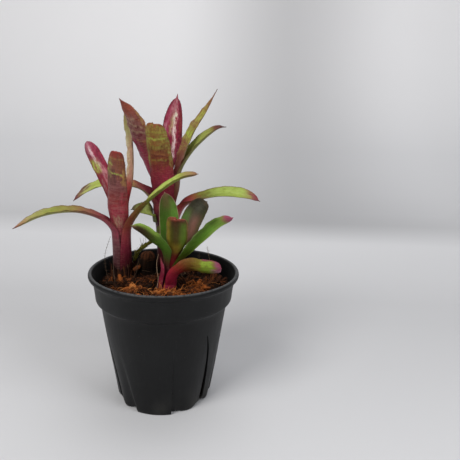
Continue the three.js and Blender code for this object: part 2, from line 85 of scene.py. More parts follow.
SEEDS = dict(
    leaf=11, next_leaf=7, bed=5, chips=21, crumbs=22, fibres=23, husk=31, stolon=37, dead_scales=53, hairs=41,
)


def lerp(a, b, share):
    return a + (b - a) * share


def smooth(value, low, high):
    share = np.clip((value - low) / (high - low), 0, 1)
    return share * share * (3 - 2 * share)


def unit(vector):
    return vector / np.linalg.norm(vector)


# ---- shoots: where each leaf grows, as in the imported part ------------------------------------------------
# strap() takes turn, ring, clasp, parts, width, curl, tip, round, twist and then the points of the blade.
# turn     degrees from +X in which a leaf leaves the axis
# ring     radius of its sheath at the foot
# clasp    degrees that the sheath reaches to each side, at its foot and where the blade parts
# parts    height at which the blade leaves the tube, and starts: height of the sheath's lower edge
# blade    where the middle of the blade runs, ending at its tip
# width    of the blade laid flat, and curl: degrees that its section bends from its middle to each margin
# tip      length over which the end narrows, and round: 0.3 for a blunt end up to 1 for a pointed one
# twist    degrees that the blade turns about its own length
def strap(turn, ring, clasp, parts, width, curl, tip, rounding, twist, *blade, **more):
    return dict(turn=turn, ring=ring, clasp=clasp, parts=parts, width=width, curl=curl, tip=tip,
                round=rounding, twist=twist, blade=blade, **more)


SHOOTS = {
    "left": dict(foot=(-29.8, 6, 70), crown=(-32.4, 9, 146), hole=7.3, flare=(111, 135, 3), leaves=dict(
        right=strap(-28, 6.7, (66, 42), 117, 11.5, 48, 9, 0.5, 36, (-20, 3, 129), (-8, 3.6, 142.6),
            (4, 4.5, 151.9), (12, 5.2, 156), (21.6, 6, 157.4), opening=14),
        low=strap(198, 5.78, (88, 72), 116, 11, 56, 26, 0.7, -18, (-41.9, 4, 124.6), (-55, 2, 130.3),
            (-68, 0, 131), (-83, -3, 127.8), (-99.7, -7, 118.5)),
        front=strap(-96, 4.82, (92, 66), 134, 14.5, 50, 26, 0.24, 0, (-31.7, -0.5, 147),
            (-31.5, -2.5, 160), (-30, -7, 172.4)),
        inner=strap(152, 3.92, (88, 52), 135, 11, 38, 13, 0.45, -30, (-41.5, 13.5, 148), (-47.8, 15, 162),
            (-55.2, 17, 175.4)),
        upright=strap(48, 3, (86, 55), 134, 9, 58, 20, 0.6, -12, (-26, 17, 151), (-26.4, 22.5, 164),
            (-28.9, 30.5, 179.2), (-33.6, 36, 194.3)),
    )),
    "tall": dict(foot=(-1.6, 26, 70), crown=(-3.1, 29, 152), hole=8.3, flare=(107, 132, 2.4), leaves=dict(
        right_low=strap(-10, 7.6, (88, 72), 119, 13, 42, 20, 0.6, 25, (11, 26, 131.5), (20, 24, 137.4),
            (34, 21, 142.2), (46, 18, 143.2), (56, 17, 141.8), (64, 16, 138.2), opening=34),
        left_low=strap(182, 6.65, (88, 72), 132, 9.4, 50, 20, 0.65, -20, (-17.5, 25.5, 142),
            (-30, 25, 146.4), (-44, 24, 146.5), (-58, 22, 141), (-67, 20, 133)),
        front=strap(-100, 5.7, (92, 60), 134, 18.5, 40, 26, 0.22, 0, (-4.8, 18, 156), (-6.2, 14.5, 171),
            (-8.6, 7.5, 189.4)),
        left=strap(212, 4.75, (88, 55), 142, 17, 40, 28, 0.75, 28, (-13, 24.5, 158), (-19, 21.5, 176),
            (-24.6, 18.5, 192), (-32.3, 15, 204.3)),
        right_mid=strap(-6, 3.8, (84, 40), 128, 14, 48, 26, 0.7, 22, (5.1, 28.4, 145), (6.3, 28.8, 156),
            (14, 28, 170.2), (23.4, 27, 180.3), (32.8, 26, 186.8), (38.8, 25, 187.6)),
        right_high=strap(20, 2.9, (84, 30), 138, 11.6, 44, 44, 0.8, 14, (8.3, 29.9, 167.5),
            (15, 32.2, 184.6), (21.4, 34, 194.6), (27, 35.3, 204), (31.6, 36.5, 212.6)),
        inner=strap(88, 2, (92, 54), 151, 15.5, 40, 28, 0.55, 0, (-0.8, 42.4, 167), (0, 44.8, 187),
            (3, 46.6, 208.3), opening=28),
        small=strap(198, 8.1, (34, 32), 125, 8.6, 22, 12, 0.75, -34, (-15, 19.6, 129.6),
            (-18.6, 18.2, 130.2), (-22.6, 17, 130.2), (-25.8, 15.2, 129.2), starts=119),
        bract=strap(250, 8.6, (24, 24), 112, 7, 28, 7, 0.6, 0, (-6.2, 17.4, 119), starts=102),
    )),
    "small": dict(foot=(1, -15, 70), crown=(7.8, -8, 110), hole=7, flare=(92, 108, 1.3), leaves=dict(
        low=strap(-38, 5.5, (86, 66), 87, 12.8, 30, 6.5, 0.36, -44, (9.6, -19.4, 95.8), (14.5, -21, 100.4),
            (20, -22, 102.7), (27, -22.7, 102), (39.4, -25, 102.2)),
        left=strap(200, 4.6, (86, 60), 98, 16.5, 44, 12, 0.5, 36, (1, -14, 111), (-5, -17, 118),
            (-12, -19, 124.2), (-19, -20.3, 127.2)),
        right=strap(-12, 3.7, (86, 60), 99, 15, 48, 10, 0.42, -24, (19, -11, 111), (27, -13, 120),
            (36, -15.5, 129), (45.6, -18, 134.2)),
        front=strap(-88, 2.8, (90, 56), 103, 15, 44, 7, 0.2, 0, (9.5, -15, 116), (10, -17, 124.5),
            (10, -20.5, 133.2)),
        left_up=strap(150, 2, (88, 46), 98, 14, 34, 16, 0.55, -35, (3, -4, 119), (2.6, -3, 132),
            (0.3, -4, 146.3)),
        right_back=strap(44, 1.2, (92, 42), 107, 15.5, 34, 12, 0.35, 25, (15.2, -4.2, 117.5),
            (18.3, -0.8, 127.2), (22.6, 2.4, 135.1), (27.8, 4.8, 139.6)),
        bract=strap(216, 6.3, (26, 26), 90, 6, 30, 10, 0.7, 0, (0.6, -17.2, 97.5), (-0.5, -15.8, 105.3),
            starts=79.5),
    )),
}


def axis_point(shoot, height):
    foot, crown = np.array(shoot["foot"], float), np.array(shoot["crown"], float)
    return lerp(foot, crown, (height - foot[2]) / (crown[2] - foot[2]))


def axis_direction(shoot):
    return unit(np.array(shoot["crown"], float) - np.array(shoot["foot"], float))


def ring_at(shoot, leaf, height):
    low, high, spread = shoot["flare"]
    return leaf["ring"] + spread * smooth(height, low, high)


def sheath_foot(shoot, leaf):
    if "starts" in leaf:
        return leaf["starts"]
    widest = next(iter(shoot["leaves"].values()))["ring"]
    return shoot["foot"][2] + SHOULDER + SEAT + (widest - leaf["ring"] + CAD_SHEATH_THICK) * STEM_SLOPE


def curve_through(points, steps=60):
    """Closely spaced points on a centripetal Catmull-Rom curve through the given ones."""
    points = [np.array(p, float) for p in points]
    padded = [2 * points[0] - points[1], *points, 2 * points[-1] - points[-2]]
    along = []
    for p0, p1, p2, p3 in zip(padded, padded[1:], padded[2:], padded[3:]):
        d0, d1, d2 = (np.linalg.norm(b - a) ** 0.5 for a, b in ((p0, p1), (p1, p2), (p2, p3)))
        start = ((p1 - p0) / d0 - (p2 - p0) / (d0 + d1) + (p2 - p1) / d1) * d1
        end = ((p2 - p1) / d1 - (p3 - p1) / (d1 + d2) + (p3 - p2) / d2) * d1
        s = np.linspace(0, 1, steps, endpoint=False)[:, None]
        square = 3 * (p2 - p1) - 2 * start - end
        cube = 2 * (p1 - p2) + start + end
        along.append(p1 + start * s + square * s**2 + cube * s**3)
    return np.vstack([*along, points[-1]])


class Route:
    """A curve that is read by its length, from 0 to 1."""

    def __init__(self, points):
        self.points = curve_through(points)
        pieces = np.linalg.norm(np.diff(self.points, axis=0), axis=1)
        self.reached = np.concatenate([[0], np.cumsum(pieces)])
        self.length = self.reached[-1]

    def at(self, share):
        return np.array([np.interp(share * self.length, self.reached, self.points[:, k]) for k in range(3)]).T

    def tangent(self, share):
        step = 0.004
        return unit(self.at(min(1, share + step)) - self.at(max(0, share - step)))


def leaf_frames(shoot, leaf):
    """Where a leaf's middle line runs, one row for each section from its foot to its tip."""
    axis = axis_direction(shoot)
    out = np.array([math.cos(math.radians(leaf["turn"])), math.sin(math.radians(leaf["turn"])), 0])
    out = unit(out - out.dot(axis) * axis)
    start = sheath_foot(shoot, leaf)
    sheath = []
    for share in SHEATH_SHARES:
        height = lerp(start, leaf["parts"], share)
        sheath.append(axis_point(shoot, height) + out * ring_at(shoot, leaf, height))
    route = Route([*sheath, *leaf["blade"]])
    sheath_length = np.linalg.norm(sheath[-1] - sheath[0])
    part = sheath_length / route.length
    left = 1 - np.arange(1, BLADE_ROWS + 1) / BLADE_ROWS
    shares = [*np.linspace(0, part, SHEATH_ROWS + 1), *(1 - (1 - part) * left**CROWDING)]
    rows = []
    inner = -out
    for share in shares:
        tangent = route.tangent(share)
        inner = unit(inner - inner.dot(tangent) * tangent)
        along = share * route.length
        free = max(0, (along - sheath_length) / (route.length - sheath_length))
        turn = Matrix.Rotation(math.radians(leaf["twist"]) * smooth(free, 0, 0.6), 3, Vector(tangent))
        face = np.array(turn @ Vector(inner))
        risen = min(1, along / sheath_length)
        height = lerp(start, leaf["parts"], risen)
        rows.append(dict(
            at=route.at(share), tangent=tangent, face=face, side=np.cross(face, tangent), free=free,
            open=smooth(along, sheath_length, sheath_length + leaf.get("opening", OPENING)), along=along,
            left=route.length - along, share=share, ring=ring_at(shoot, leaf, height),
            clasp=math.radians(lerp(*leaf["clasp"], risen**2)),
        ))
    return rows


# ---- looks: node graphs ---------------------------------------------------------------------------------
def srgb(code):
    """A colour written as six hex digits, as Blender's linear numbers."""
    channels = [int(code[i : i + 2], 16) / 255 for i in (0, 2, 4)]
    return (*(c / 12.92 if c <= 0.04045 else ((c + 0.055) / 1.055) ** 2.4 for c in channels), 1)


def gradient(text):
    """Colour stops as (place, code), from text that gives each colour and its place in per cent."""
    stops = (stop.split() for stop in text.split(","))
    return [(int(place) / 100, code) for code, place in stops]


class Graph:
    """A material's node graph, with one short call for each kind of node that the looks need."""

    def __init__(self, name, **constants):
        self.material = bpy.data.materials.new(name)
        self.material.use_nodes = True
        self.tree = self.material.node_tree
        self.shader = self.tree.nodes["Principled BSDF"]
        for socket, value in constants.items():
            self.shader.inputs[socket.replace("_", " ").title().replace("Ior", "IOR")].default_value = value

    def put(self, socket, value):
        if isinstance(value, bpy.types.NodeSocket):
            self.tree.links.new(value, socket)
        else:
            socket.default_value = value

    def node(self, kind, *values, **settings):
        made = self.tree.nodes.new("ShaderNode" + kind)
        for setting, value in settings.items():
            setattr(made, setting, value)
        for socket, value in zip(made.inputs, values):
            if value is not None:
                self.put(socket, value)
        return made

    def number(self, attribute):
        return self.node("Attribute", attribute_name=attribute).outputs["Fac"]

    def vector(self, attribute):
        return self.node("Attribute", attribute_name=attribute).outputs["Vector"]

    def place(self):
        """The point's place in the part's frame, in millimetres."""
        point = self.node("TexCoord").outputs["Object"]
        return self.node("VectorMath", point, (1 / MM,) * 3, operation="MULTIPLY").outputs["Vector"]

    def math(self, operation, a, b=0.0):
        return self.node("Math", a, b, operation=operation).outputs[0]

    def plus(self, a, b):
        return self.math("ADD", a, b)

    def minus(self, a, b):
        return self.math("SUBTRACT", a, b)

    def times(self, a, b):
        return self.math("MULTIPLY", a, b)

    def stretched(self, vector, scale):
        return self.node("VectorMath", vector, scale, operation="MULTIPLY").outputs["Vector"]

    def noise(self, vector, scale=(1, 1, 1), detail=2.0, roughness=0.5):
        texture = self.node("TexNoise", self.stretched(vector, scale))
        texture.inputs["Scale"].default_value = 1
        texture.inputs["Detail"].default_value = detail
        texture.inputs["Roughness"].default_value = roughness
        return texture.outputs[0]

    def sway(self, value, noise, amount):
        """The value moved by up to half the amount to either side, as the noise says."""
        return self.plus(value, self.times(self.minus(noise, 0.5), amount))

    def step(self, value, low, high, top=1.0):
        """From 0 to top as the value goes from low to high, which may be the smaller one."""
        kind = "SMOOTHSTEP"
        if low < high:
            made = self.node("MapRange", value, low, high, 0.0, top, interpolation_type=kind)
        else:
            made = self.node("MapRange", value, high, low, top, 0.0, interpolation_type=kind)
        return made.outputs[0]

    def window(self, value, low, high, soft, top=1.0):
        rise = self.step(value, low - soft, low + soft, top)
        return self.times(rise, self.step(value, high + soft, high - soft))

    def mix(self, mask, a, b, blend="MIX"):
        made = self.node("Mix", data_type="RGBA", blend_type=blend)
        self.put(made.inputs["Factor"], mask)
        self.put(made.inputs[6], a)
        self.put(made.inputs[7], b)
        return made.outputs[2]

    def ramp(self, value, stops):
        made = self.node("ValToRGB", value)
        elements = made.color_ramp.elements
        stops = gradient(stops)
        while len(elements) < len(stops):
            elements.new(0.5)
        for element, (position, code) in zip(elements, stops):
            element.position = position
            element.color = srgb(code)
        return made.outputs[0]

    def shade(self, colour, value, low, high):
        """The colour made darker or lighter, as the value goes from 0 to 1."""
        amount = self.span(value, 0.0, 1.0, low, high)
        tone = self.node("CombineColor", amount, amount, amount).outputs[0]
        return self.mix(1.0, colour, tone, "MULTIPLY")

    def paint(self, colour, mask, code):
        return self.mix(mask, colour, srgb(code))

    def span(self, value, low, high, to_low, to_high):
        return self.node("MapRange", value, low, high, to_low, to_high).outputs[0]

    def finish(self, colour, roughness, height, bump_mm):
        bump = self.node("Bump")
        bump.inputs["Strength"].default_value = 1
        bump.inputs["Distance"].default_value = bump_mm * MM
        self.put(bump.inputs["Height"], height)
        self.put(self.shader.inputs["Base Color"], colour)
        self.put(self.shader.inputs["Roughness"], roughness)
        self.put(self.shader.inputs["Normal"], bump.outputs[0])
        return self.material


# Of a leaf's look, where along runs from 0 at the sheath's foot to 1 at the tip, and across from -1 to 1:
# stops    colours along the leaf, as gradient() reads them; the darkest, at the foot, partly own colour, partly painted shade
# washes   soft-edged patches as (colour, strength, along from, to, across from, to); some pale ones are painted highlights
# lines    thin cross lines as (colour, strength, along, slope, across from, to)
# bands    irregular cross bands as (colour, strength, along from, to)
# margin   (colour, strength, share of the half width, along from, to)
# outer    the outer face's own tint as (colour, strength)
# gloss    from 0 to 1
# mottle   how dark and how light the blotches make it
# scurf    fine pale cross flecks as (colour, strength)
# rim      how dark the very edge is, and tear: how ragged the edges of the patches are, up to 1
LOOKS = {}
GREEN_SCURF = ("8a9068", 0.1)


def look(name, stops, washes, **rest):
    LOOKS[name] = dict(stops=stops, washes=washes, **rest)


look("left_right",
    "1c110c 0, 2a1412 7, 4a121c 13, 741c30 25, 8a3238 34, 94443a 40, 905a38 47, 8e7c38 55, "
    "9caa48 63, 90a040 86, 96784e 95, 855a4a 100",
    [("b4c868", 0.6, 0.5, 0.88, 0.2, 1.2), ("80382c", 0.55, 0.38, 0.6, -1.2, -0.4)],
    margin=("8a6a3a", 0.4, 0.1, 0.4, 0.95), outer=("6e502c", 0.12), gloss=0.45, mottle=(0.7, 1.28))
look("left_low",
    "1c110c 0, 2c1614 7, 4c262a 12, 663038 26, 8a3444 35, 8e4048 44, 84503e 52, 86703a 60, "
    "8a903e 74, 9c965c 88, 9a6a52 96, 62282e 100",
    [("a2aa58", 0.5, 0.62, 0.92, 0.1, 1.2), ("90343e", 0.5, 0.34, 0.5, 0.0, 1.2)],
    bands=("8a7068", 0.2, 0.06, 0.3), margin=("7c4434", 0.4, 0.12, 0.35, 0.97), outer=("7a5a3a", 0.08),
    scurf=("9c6a5c", 0.12), gloss=0.45, mottle=(0.65, 1.3))
look("left_front",
    "200d0a 0, 3a1215 12, 641a28 25, 862836 40, 8a2a38 52, 82302e 62, 744040 70, 6a3c38 78, "
    "74483a 86, 7e4434 93, 8c2e2a 100",
    [("965a38", 0.5, 0.76, 0.95, 0.1, 0.95), ("b08848", 0.7, 0.72, 0.86, 0.6, 0.95),
     ("54302e", 0.6, 0.7, 0.86, -0.6, 0.1), ("868048", 0.55, 0.8, 0.92, -1.2, -0.3),
     ("b04450", 0.6, 0.34, 0.68, 0.3, 1.0), ("704048", 0.5, 0.3, 0.72, -1.2, -0.5),
     ("a08468", 0.8, 0.41, 0.48, -0.3, 0.5)],
    lines=[("98a64c", 0.8, 0.885, 0.02, -1.0, -0.3), ("98a64c", 0.8, 0.822, 0.025, -1.1, 0.6),
           ("8f7a45", 0.5, 0.935, 0.0, -0.9, 0.9)],
    bands=("94605a", 0.4, 0.3, 0.75), scurf=("b87a74", 0.32), margin=("96523c", 0.4, 0.06, 0.7, 0.97),
    outer=("7a3a2e", 0.0), gloss=0.4, mottle=(0.45, 1.5))
# Of left_inner, the pale pink and whitish washes are painted sheen and highlights on its glossy face.
look("left_inner",
    "30101a 0, 641828 30, 8e2430 50, 962a36 62, 8c243c 75, 942844 90, a84c64 100",
    [("cc98a4", 0.6, 0.9, 1.04, 0.0, 0.9), ("561428", 0.7, 0.84, 0.94, 0.35, 0.9),
     ("5c142a", 0.6, 0.82, 0.96, -0.7, -0.3), ("a2b04a", 1, 0.765, 0.86, -0.1, 1.2),
     ("dccab8", 0.55, 0.8, 0.85, -0.35, 0.1), ("c88c90", 0.7, 0.62, 0.8, -0.6, 0.0),
     ("e4c8c8", 0.9, 0.85, 0.96, 0.05, 0.35), ("c8a0a0", 0.6, 0.6, 0.7, 0.3, 0.7)],
    margin=("741a34", 0.5, 0.1, 0.55, 1.1), outer=("8a2a3c", 0.3), gloss=0.7, mottle=(0.5, 1.45),
    rim=0.2, tear=0.7)
look("left_upright",
    "30101a 0, 6c182a 30, a02a34 48, a8443e 54, b08068 60, ac8c6c 78, 94905a 88, 8c7a4a 100",
    [("bcb890", 0.5, 0.58, 0.9, 0.6, 1.2), ("b08070", 0.6, 0.56, 0.85, -0.6, 0.3),
     ("9a5a3f", 0.5, 0.55, 0.8, -1.2, -0.5)],
    bands=("94705a", 0.35, 0.5, 1.0), margin=("c0b088", 0.5, 0.1, 0.55, 1.0), outer=("b59a78", 0.15),
    gloss=0.4, mottle=(0.65, 1.3), rim=0.1)
look("tall_right_low",
    "260e0c 0, 48141e 15, a02c44 38, a83a46 48, 90482e 54, 7c7a30 60, 86983a 70, 92a444 86, "
    "908a4c 93, 803c42 97, 5a2028 100",
    [("a8bc60", 0.55, 0.64, 0.9, 0.0, 0.9), ("7c2c38", 0.85, 0.91, 1.05, 0.3, 1.3),
     ("9c322c", 0.7, 0.44, 0.66, -1.2, -0.3), ("a04048", 0.5, 0.42, 0.54, -0.2, 0.8)],
    margin=("7c4a34", 0.5, 0.08, 0.5, 1.0), outer=("84923e", 0.08), gloss=0.5, mottle=(0.75, 1.22))
look("tall_left_low",
    "260e0c 0, 48141c 15, 642034 36, 843046 46, b04e60 53, a85a4c 58, 8c7c40 62, 90a040 66, "
    "a0b04c 84, aaa868 92, 743c38 96, 3a1e20 100",
    [("bccc78", 0.55, 0.65, 0.92, 0.0, 1.2), ("5a1c28", 0.9, 0.87, 1.05, -1.2, -0.3),
     ("96404a", 0.6, 0.4, 0.56, 0.0, 1.2), ("96a448", 0.7, 0.5, 0.62, 0.4, 1.2)],
    margin=("8a5a3a", 0.4, 0.08, 0.5, 1.0), outer=("948048", 0.05), gloss=0.5, mottle=(0.7, 1.25),
    rim=0.3)
look("tall_front",
    "1c0a08 0, 461018 15, 6a182e 35, 7c2036 55, 7c2430 67, 6c2a22 73, 6c4024 79, 7c602a 86, "
    "867230 96, 8c4a2e 100",
    [("5c2018", 0.8, 0.74, 0.86, -0.5, 0.5), ("98984c", 0.6, 0.72, 0.98, 0.72, 1.2),
     ("949a4c", 0.65, 0.71, 0.98, -1.2, -0.72), ("989440", 0.75, 0.84, 1.0, -0.7, 0.7),
     ("7c3a22", 0.6, 0.86, 0.98, -0.5, 0.4), ("9c3042", 0.6, 0.45, 0.7, 0.1, 1.1),
     ("30101a", 0.5, 0.4, 0.72, -1.2, -0.78)],
    lines=[("a4ae4a", 0.8, 0.9, 0.0, -0.7, 0.8), ("98983e", 0.4, 0.756, 0.0, -0.6, 0.6),
           ("8a8438", 0.5, 0.84, -0.01, -0.6, 0.8), ("98943c", 0.6, 0.945, 0.01, -0.7, 0.8),
           ("8a5a34", 0.6, 0.8, 0.01, -0.6, 0.6)],
    bands=("8a4a2a", 0.55, 0.7, 0.97), scurf=("b8806c", 0.28), margin=("8a7c40", 0.35, 0.05, 0.7, 1.0),
    outer=("7a3a2e", 0.0), gloss=0.4, mottle=(0.45, 1.5))
look("tall_left",
    "1c0a08 0, 4c1022 20, 841c3c 45, 8a2440 60, 7a2638 70, 66282e 78, 70322a 86, 88402e 94, "
    "6e2e28 100",
    [("982c4e", 0.8, 0.42, 0.78, -1.2, 0.0), ("481a1e", 0.45, 0.72, 0.88, -0.4, 0.6),
     ("b0904c", 0.6, 0.8, 0.92, 0.78, 1.15), ("947870", 0.5, 0.84, 0.9, -0.9, 0.3),
     ("8a3c30", 0.5, 0.62, 0.76, 0.3, 1.0)],
    lines=[("a08a6c", 0.5, 0.8, 0.02, -0.8, 0.9), ("a08a6c", 0.55, 0.84, 0.03, -0.9, 0.7),
           ("a08a6c", 0.5, 0.875, 0.02, -0.9, 0.3), ("94703c", 0.4, 0.75, 0.02, -0.3, 0.9)],
    bands=("8a6058", 0.4, 0.62, 0.92), scurf=("b07c70", 0.28), margin=("b0785c", 0.4, 0.05, 0.6, 1.0),
    outer=("7a3a34", 0.0), gloss=0.4, mottle=(0.45, 1.5), rim=0.3)
look("tall_right_mid",
    "30101a 0, 6e1e30 35, 7c3a3a 47, 785434 55, 787630 65, 8a963e 78, 888c3a 90, 6a3a34 94, "
    "2c141c 100",
    [("a4ac60", 0.5, 0.65, 0.92, 0.2, 1.2), ("5c6024", 0.4, 0.6, 0.88, -1.2, -0.3)],
    margin=("7c5c38", 0.5, 0.1, 0.5, 0.95), outer=("6c5c2e", 0.35), gloss=0.45, mottle=(0.72, 1.25))
look("tall_right_high",
    "30101a 0, 7c1e34 35, 903c48 46, 965a4a 56, 8a5c40 66, 86703c 74, 8a643c 85, 8a5638 91, "
    "743e30 97, 4a2824 100",
    [("a6bc44", 0.95, 0.68, 0.76, -0.7, 0.9), ("a8b04a", 0.85, 0.79, 0.88, -0.7, 0.7),
     ("e0d4bc", 0.8, 0.6, 0.7, -1.1, -0.6), ("7c4034", 0.7, 0.74, 0.8, -0.6, 0.9),
     ("b87e74", 0.5, 0.44, 0.6, -0.7, 0.5), ("6e3430", 0.5, 0.56, 0.68, 0.2, 1.1)],
    bands=("9c9a48", 0.5, 0.62, 0.92), margin=("9a7450", 0.4, 0.1, 0.5, 1.0), outer=("97814a", 0.1),
    gloss=0.4, mottle=(0.5, 1.4), rim=0.3)
# Of tall_inner, the cream, white and pale pink washes are partly its own paler pattern and partly painted
# highlights.
look("tall_inner",
    "280c16 0, 641626 35, 8a1e3a 50, 902640 70, 962a46 85, a04054 100",
    [("c08c90", 0.6, 0.84, 0.99, -0.4, 0.6), ("561226", 0.8, 0.52, 0.97, -0.95, -0.5),
     ("ece0cc", 0.95, 0.68, 0.9, -0.3, 0.05), ("ecccd0", 0.9, 0.5, 0.8, -0.3, 0.0),
     ("d4c894", 0.75, 0.76, 0.88, 0.05, 0.4), ("8c3828", 0.7, 0.78, 0.9, -0.95, -0.6),
     ("bc5070", 0.55, 0.6, 0.92, 0.4, 0.85), ("741830", 0.6, 0.6, 0.9, 0.2, 0.5),
     ("d8a0a8", 0.6, 0.66, 0.82, 0.6, 0.9)],
    margin=("5c1428", 0.5, 0.08, 0.5, 1.1), outer=("8a2a3c", 0.3), gloss=0.7, mottle=(0.45, 1.5),
    rim=0.3)
look("tall_small",
    "5a5a28 0, 8c9c40 30, a8b85a 70, 8a8450 88, 5a4a3a 100",
    [("c0d078", 0.7, 0.3, 0.85, -0.6, 0.9)],
    margin=("7c6e42", 0.5, 0.1, 0.2, 1.0), outer=("94a050", 0.2), gloss=0.4, rim=0.4)
look("tall_bract",
    "4a3c20 0, 74742e 40, 7c8838 80, 6a4a2c 100",
    [],
    margin=("6a442a", 0.6, 0.25, 0.1, 1.0), outer=("74743a", 0.2), gloss=0.3)
look("small_low",
    "2c0a10 0, 8a1a38 15, b42a4a 30, a82c34 40, 8c3a22 47, 784a1e 53, 74581e 60, 86802a 68, "
    "88a034 74, 8ca83a 87, 96804a 91, a05a74 95, 8c3450 100",
    [("9cbc40", 0.85, 0.72, 0.88, -0.7, 0.5), ("c8909c", 0.85, 0.86, 1.02, 0.1, 1.0),
     ("802a44", 0.9, 0.72, 1.1, -1.3, -0.85), ("a88a40", 0.4, 0.62, 0.72, -0.4, 0.8)],
    margin=("94405a", 0.6, 0.08, 0.72, 1.1), outer=("8e4038", 0.1), gloss=0.5, mottle=(0.65, 1.3),
    rim=0.2)
look("small_left",
    "4a0f1c 0, 5a1a2c 22, 503020 36, 40501a 45, 4a7020 56, 4c6a20 68, 4a5420 78, 40301a 86, "
    "4a341e 93, 7c5a44 100",
    [("96b84a", 0.9, 0.72, 0.99, 0.75, 1.3), ("2c3a10", 0.7, 0.4, 0.95, -1.3, -0.1),
     ("3c2a16", 0.6, 0.7, 0.93, -0.2, 0.5)],
    margin=("98a86c", 0.3, 0.04, 0.5, 0.95), outer=("34460e", 0.1), gloss=0.35, mottle=(0.75, 1.25),
    scurf=GREEN_SCURF, rim=0.1, tear=0.1)
look("small_right",
    "4a0f1c 0, 5a1822 15, 523a18 25, 4c6216 38, 62902a 60, 78ac34 75, 8cae44 89, 94784c 92, "
    "a8486a 95, 9c3a5e 100",
    [("a4c850", 0.85, 0.4, 0.9, -0.05, 1.3), ("3a500f", 0.9, 0.2, 0.88, -1.3, -0.5)],
    margin=("a0aa74", 0.3, 0.05, 0.35, 0.93), outer=("4a7420", 0.1), gloss=0.4, mottle=(0.75, 1.25),
    scurf=GREEN_SCURF, rim=0.1, tear=0.1)
look("small_front",
    "34080e 0, 8a1a28 30, 84302a 42, 6e4620 50, 565016 58, 4a4c14 70, 464818 85, 50341e 95, "
    "8c3c30 100",
    [("a08c34", 0.85, 0.42, 0.95, -1.0, -0.6), ("4a2a18", 0.6, 0.58, 1.0, -0.35, 0.15),
     ("66842a", 0.75, 0.5, 0.92, 0.35, 0.9), ("8a4434", 0.6, 0.6, 1.0, 0.9, 1.3),
     ("96802c", 0.6, 0.46, 0.6, -0.6, 0.7)],
    margin=("b07a58", 0.6, 0.05, 0.4, 1.1), outer=("566a1e", 0.0), gloss=0.35, mottle=(0.7, 1.25),
    scurf=GREEN_SCURF, rim=0.2, tear=0.15)
look("small_left_up",
    "4a0f1c 0, 42281a 20, 40521a 35, 4c7220 60, 4e6824 80, 585a2c 93, 8a6a50 100",
    [("6c9a3e", 0.6, 0.4, 0.88, -1.2, -0.3), ("44601c", 0.5, 0.5, 0.9, 0.1, 0.7),
     ("6a5434", 0.6, 0.8, 0.96, -0.5, 0.5)],
    margin=("c09a84", 0.6, 0.05, 0.35, 1.1), outer=("3e5a1c", 0.1), gloss=0.35, mottle=(0.75, 1.25),
    scurf=GREEN_SCURF, rim=0.1, tear=0.2)
# Of small_right_back, the last, grey-green wash near the tip is a painted sheen.
look("small_right_back",
    "501020 0, 502414 35, 4c3a1c 50, 5a3e2a 62, 503c28 74, 2c2914 84, 241f10 93, 463826 100",
    [("4a6c28", 0.85, 0.4, 0.8, 0.4, 1.3), ("84524a", 0.5, 0.45, 0.76, -0.5, 0.0),
     ("3a4220", 0.7, 0.4, 0.9, -1.3, -0.75), ("5c604c", 0.25, 0.86, 0.9, -0.3, 0.2)],
    margin=("6a4438", 0.5, 0.06, 0.5, 1.1), outer=("3c3a1a", 0.1), gloss=0.25, mottle=(0.7, 1.25),
    scurf=GREEN_SCURF, rim=0.3, tear=0.1)
look("small_bract",
    "400e14 0, 7e1c34 40, 903048 80, 7c4234 100",
    [],
    margin=("6a1628", 0.5, 0.2, 0.1, 1.0), outer=("8a2640", 0.2), gloss=0.55)


